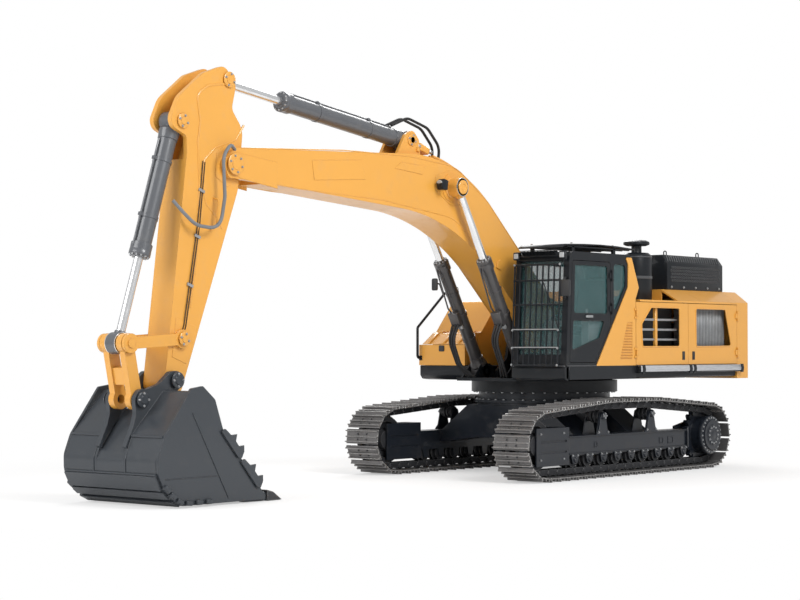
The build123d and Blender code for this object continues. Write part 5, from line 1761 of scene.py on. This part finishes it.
@dataclass
class Cylinder(Assembly):
    """Fittings of one hydraulic cylinder, in a frame from its base pin to its eye."""

    name: str
    barrel: str
    rod: str
    start: Vector
    end: Vector
    y: float
    radius: float
    rod_radius: float
    gland: float
    half: float
    paint: Finish
    eye_paint: Finish

    def build(self) -> None:
        """Add the head, bands, side pipe and eye cover."""
        along = self.end - self.start
        angle = math.degrees(math.atan2(along.z, along.x))
        place = Matrix.Translation((0, self.y, 0)) @ side_frame(self.start.x, self.start.z, angle)
        radius, gland, length = self.radius, self.gland, along.length
        head = ((self.rod_radius + 0.001, gland - 0.010), (self.rod_radius + 0.001, gland + 0.022),
                (radius - 0.022, gland + 0.026), (radius - 0.012, gland + 0.012),
                (radius + 0.012, gland + 0.008), (radius + 0.020, gland - 0.002),
                (radius + 0.020, gland - 0.052), (radius + 0.014, gland - 0.060),
                (radius + 0.014, gland - 0.090), (radius + 0.019, gland - 0.096),
                (radius + 0.019, gland - 0.142), (radius - 0.002, gland - 0.150))
        parts = [self.lathe(head, (0, 0, 0), "X", 36)]
        for share in (0.30, 0.72):
            u = gland * share
            band = ((radius - 0.001, u - 0.024), (radius + 0.007, u - 0.022),
                    (radius + 0.007, u + 0.022), (radius - 0.001, u + 0.024))
            parts.append(self.lathe(band, (0, 0, 0), "X", 32))
            parts.append(self.block((u - 0.022, u + 0.022),
                                    (-0.026, 0.026), (radius - 0.01, radius + 0.042)))
        base = ((0.090, 0.060), (0.132, 0.120), (radius + 0.010, 0.205),
                (radius + 0.010, 0.235), (radius - 0.002, 0.240))
        parts.append(self.lathe([*base, (0.080, 0.235), (0.080, 0.070)], (0, 0, 0), "X", 32))
        self.finish(parts, self.name + "_fittings", self.barrel, self.paint, place)
        pipe = self.tube([(0.260, 0, radius - 0.01), (0.270, 0, radius + 0.022),
                          (gland - 0.090, 0, radius + 0.022), (gland - 0.080, 0, radius)], 0.012, 0.03)
        self.finish([pipe], self.name + "_line", self.barrel, self.paint, place)
        rows = self.circle((gland + 0.008, 0, 0), radius - 0.002, 12, (1, 0, 0))
        self.finish(self.bolts(rows, 0.011), self.name + "_bolts", self.barrel, Finish.ZINC, place)
        half, eye = self.half, 0.131
        cover = ((0.060, -half), (eye - 0.008, -half),
                 (eye, 0.010 - half), (eye, half - 0.010), (eye - 0.008, half), (0.060, half))
        collar = ((self.rod_radius, length - 0.146), (self.rod_radius + 0.016, length - 0.142),
                  (self.rod_radius + 0.020, length - 0.118), (0.070, length - 0.080),
                  (0.040, length - 0.080))
        eyes = [self.lathe(cover, (length, 0, 0), "Y", 36), self.lathe(collar, (0, 0, 0), "X", 32)]
        for side in (-1, 1):
            eyes.append(self.lathe(self._cap(side), (length, 0, 0), "Y", 28))
        self.finish(eyes, self.name + "_eye", self.rod, self.eye_paint, place)
        caps = [self.lathe(self._cap(side), (0, 0, 0), "Y", 28) for side in (-1, 1)]
        self.finish(caps, self.name + "_base_caps", self.barrel, self.paint, place)

    def _cap(self, side: int) -> list[Flat]:
        """Return the profile of the cap over a pin's end.

        Args:
            side: 1 for left, -1 for right.

        Returns:
            The profile.
        """
        half = self.half
        rows = ((0, half - 0.01), (0.100, half - 0.01), (0.100, half + 0.012),
                (0.090, half + 0.020), (0.045, half + 0.020), (0.040, half + 0.012), (0, half + 0.012))
        return on_side(rows, side)


def cylinders(shop: FinishShop) -> list[Cylinder]:
    """Return the machine's four cylinders.

    Args:
        shop: where finishes come from.

    Returns:
        The cylinders.
    """
    arm_base, arm_eye = BOOM @ Vector((3.852, 0, 1.612)), ARM @ Vector((-0.980, 0, 0.376))
    low, high = ARM @ Vector((-0.169, 0, 0.912)), ARM @ Vector((2.640, 0, 0.799))
    out = []
    for side, y in (("left", LIFT_Y), ("right", -LIFT_Y)):
        out.append(Cylinder(shop, "boom_cylinder_" + side,
                            "boom_barrel_" + side, "boom_rod_" + side, LIFT_BASE,
                            LIFT_EYE, y, 0.0925, 0.057, 1.860, 0.090, Finish.CYLINDER_DARK, Finish.BODY))
    out.append(Cylinder(shop, "arm_cylinder", "arm_barrel", "arm_rod",
                        arm_base, arm_eye, 0.0, 0.115, 0.055, 2.450, 0.095, Finish.CYLINDER, Finish.BODY))
    out.append(Cylinder(shop, "bucket_cylinder", "bucket_barrel", "bucket_rod",
                        low, high, 0.0, 0.112, 0.055, 1.715, 0.088, Finish.CYLINDER, Finish.CYLINDER))
    return out


@dataclass
class ValveBlocks(Assembly):
    """What the boom cylinders carry on their fronts."""

    def build(self) -> None:
        """Add the valve block and its fittings on each boom cylinder's front."""
        along = LIFT_EYE - LIFT_BASE
        angle = math.degrees(math.atan2(along.z, along.x))
        for side, name in SIDES:
            across = Matrix.Translation((0, side * LIFT_Y, 0))
            place = across @ side_frame(LIFT_BASE.x, LIFT_BASE.z, angle)
            block = self.block((0.860, 1.080), (-0.085, 0.085), (-0.175, -0.094), 0.010)
            band = ((0.0905, 0.940), (0.104, 0.944), (0.104, 0.996), (0.0905, 1.000))
            clamp = self.lathe(band, (0, 0, 0), "X", 32)
            self.finish([block, clamp], "valve_block_" + name,
                        "boom_barrel_" + name, Finish.CYLINDER_DARK, place)
            nut = ((0, 0.800), (0.020, 0.800), (0.026, 0.808), (0.026, 0.850), (0.020, 0.862), (0, 0.862))
            nuts = [self.lathe(nut, (0, y, -0.125), "X", 6) for y in (-0.055, 0.0, 0.055)]
            self.finish(nuts, "valve_nuts_" + name, "boom_barrel_" + name,
                        Finish.ZINC, place, smooth=False)
            lines = [self.tube([(1.060, y, -0.120), (1.160, y, -0.160), (1.760, y * 0.5, -0.125),
                                (1.800, y * 0.5, -0.09)], 0.012, 0.06) for y in (-0.04, 0.04)]
            self.finish(lines, "valve_lines_" + name, "boom_barrel_" + name, Finish.CYLINDER_DARK, place)


@dataclass
class Hose(Assembly):
    """One free hose laid across a joint."""

    name: str
    points: Sequence[Coord]
    radius: float
    first: str
    second: str
    paint: Finish

    def build(self) -> None:
        way = rounded(self.points, 0.25, 10)
        thing = self.tube(way, self.radius, 0.0, 12)
        thing.name = self.name
        thing.data.transform(Matrix.Translation((AXIS_X, 0, 0)))
        self.select(thing)
        bpy.ops.object.shade_smooth_by_angle(angle=SMOOTH)
        self.shop.dress(thing, self.paint)
        2 * self.radius
        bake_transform(thing)


def hoses(shop: FinishShop) -> list[Hose]:
    """Return the free hoses.

    Args:
        shop: where finishes come from.

    Returns:
        The hoses.
    """
    out = []
    for i, y in enumerate((-0.150, -0.090, 0.090, 0.150)):
        points = [(-0.560, y, 1.425), (-0.540, y, 2.050),
                  (-0.380, y, 2.420), (0.080, y, 2.600), (0.468, y, 2.896)]
        out.append(Hose(shop, "foot_hose_%d" % (i + 1), points, 0.021, "upper", "boom", Finish.RUBBER))
    for side, name in SIDES:
        for i, shift in enumerate((-0.055, 0.0, 0.055)):
            y = side * LIFT_Y + shift
            points = [(1.400, side * 0.300 + shift, 1.420),
                      (1.560 + 0.03 * i, y, 1.600), (1.760 + 0.02 * i, y, 1.960), (1.640, y, 2.245)]
            out.append(Hose(shop, "boom_cylinder_hose_%s_%d" % (name, i + 1),
                            points, 0.019, "upper", "boom_barrel_" + name, Finish.RUBBER))
    for i, y in enumerate((-0.060, 0.060)):
        route = ((3.090, 1.585), (3.120, 1.800), (3.450, 1.960), (3.900, 1.930), (4.190, 1.700))
        points = [tuple(BOOM @ Vector((u, y, v))) for u, v in route]
        out.append(Hose(shop, "arm_cylinder_hose_%d" % (i + 1),
                        points, 0.020, "boom", "arm_barrel", Finish.RUBBER))
    loop = [(6.880, 0.258, 4.300), (7.020, 0.330, 4.360), (7.150, 0.330, 4.200), (7.120, 0.330, 3.700),
            (7.200, 0.330, 3.300), (7.600, 0.320, 3.330), (7.750, 0.260, 3.480), (7.860, 0.196, 3.620)]
    out.append(Hose(shop, "tip_loop_hose", loop, 0.022, "boom", "arm", Finish.HOSE_GREY))
    return out


# ---------------------------------------------------------------------- studio


@dataclass
class Studio:
    """Pale floor, soft light and the camera."""

    eye: tuple[float, float, float] = (21.116, 16.927, 1.862)
    heading: float = math.radians(49.98)
    pitch: float = math.radians(1.42)
    lens: float = 85.8
    floor_reach: float = 60.0

    def build(self) -> None:
        """Add the floor, the lamps, the world and the camera."""
        self._floor()
        self._world()
        self._lamp("key_light", (3.0, 15.0, 13.0), 7.0, 2300.0)
        self._lamp("fill_light", (17.0, -3.0, 9.0), 9.0, 1300.0)
        self._lamp("back_light", (-12.0, -9.0, 12.0), 9.0, 1500.0)
        self._camera()

    def _floor(self) -> None:
        """Add the floor under the machine."""
        bpy.ops.mesh.primitive_plane_add(size=2 * self.floor_reach, location=(0, 0, 0))
        floor = bpy.context.object
        floor.name = "floor"
        graph = Graph("pale_floor")
        path = graph.node("ShaderNodeLightPath", {}, out="Is Camera Ray")
        glow = graph.node("ShaderNodeEmission", {}, (1.0, 1.0, 1.0, 1.0), 1.0)
        matt = graph.node("ShaderNodeBsdfDiffuse", {}, (0.86, 0.86, 0.86, 1.0))
        spot = graph.node("ShaderNodeVectorMath", {"operation": "LENGTH"}, graph.place(), out="Value")
        share = path * (0.45 + spot.ramp(4.5, 9.0) * 0.55)
        graph.output(graph.node("ShaderNodeMixShader", {}, share, matt, glow))
        floor.data.materials.append(graph.material)

    def _world(self) -> None:
        """Set a plain white world, dimmer as a light than as a backdrop."""
        world = bpy.data.worlds.new("studio_world")
        bpy.context.scene.world = world
        world.use_nodes = True
        tree = world.node_tree
        tree.nodes.clear()
        path = tree.nodes.new("ShaderNodeLightPath")
        strength = tree.nodes.new("ShaderNodeMapRange")
        strength.inputs["To Min"].default_value = 0.6
        strength.inputs["To Max"].default_value = 1.0
        back = tree.nodes.new("ShaderNodeBackground")
        end = tree.nodes.new("ShaderNodeOutputWorld")
        seen = tree.nodes.new("ShaderNodeMath")
        seen.operation = "MAXIMUM"
        tree.links.new(path.outputs["Is Camera Ray"], seen.inputs[0])
        tree.links.new(path.outputs["Is Transmission Ray"], seen.inputs[1])
        tree.links.new(seen.outputs[0], strength.inputs["Value"])
        tree.links.new(strength.outputs["Result"], back.inputs["Strength"])
        tree.links.new(back.outputs["Background"], end.inputs["Surface"])
        back.inputs["Color"].default_value = (1.0, 1.0, 1.0, 1.0)

    def _lamp(self, name: str, place: Point, size: float, power: float) -> None:
        """Add a soft area lamp that faces the machine.

        Args:
            name: the lamp's name.
            place: where it hangs.
            size: its side.
            power: its power in watts.
        """
        data = bpy.data.lights.new(name, "AREA")
        data.shape = "SQUARE"
        data.size = size
        data.energy = power
        lamp = bpy.data.objects.new(name, data)
        lamp.location = place
        lamp.rotation_euler = (Vector((0, 0, 1.5)) - Vector(place)).to_track_quat("-Z", "Y").to_euler()
        bpy.context.scene.collection.objects.link(lamp)

    def _camera(self) -> None:
        """Add the camera, level with the cab and looking slightly up."""
        data = bpy.data.cameras.new("camera")
        data.lens = self.lens
        data.clip_end = 200.0
        camera = bpy.data.objects.new("camera", data)
        camera.location = self.eye
        flat = math.cos(self.pitch)
        look = Vector((-math.sin(self.heading) * flat,
                       -math.cos(self.heading) * flat, math.sin(self.pitch)))
        camera.rotation_euler = look.to_track_quat("-Z", "Y").to_euler()
        bpy.context.scene.collection.objects.link(camera)
        bpy.context.scene.camera = camera
        bpy.context.scene.view_settings.view_transform = "Standard"


def dress_nodes(nodes: dict[str, bpy.types.Object], shop: FinishShop) -> None:
    """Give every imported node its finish.

    Args:
        nodes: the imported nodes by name.
        shop: where finishes come from.
    """
    for finish, names in NODE_FINISH.items():
        for name in names:
            if name in nodes:
                shop.dress(nodes[name], finish)
        log.info("%s on %d nodes", finish.value.name, len(names))


def main() -> None:
    """Build the machine's looks."""
    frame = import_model()
    Studio().build()
    shop = FinishShop()
    for hose in hoses(shop):
        hose.build()
    dress_nodes(frame["nodes"], shop)
    groups = [group(shop) for group in (Tracks, Running, Housing, Cab, Attachment)]
    for part in (*groups, *cylinders(shop), ValveBlocks(shop)):
        part.build()
        log.info("%s done", type(part).__name__)


if __name__ == "__main__":
    logging.basicConfig(level=logging.INFO, format="%(name)s: %(message)s")
    main()
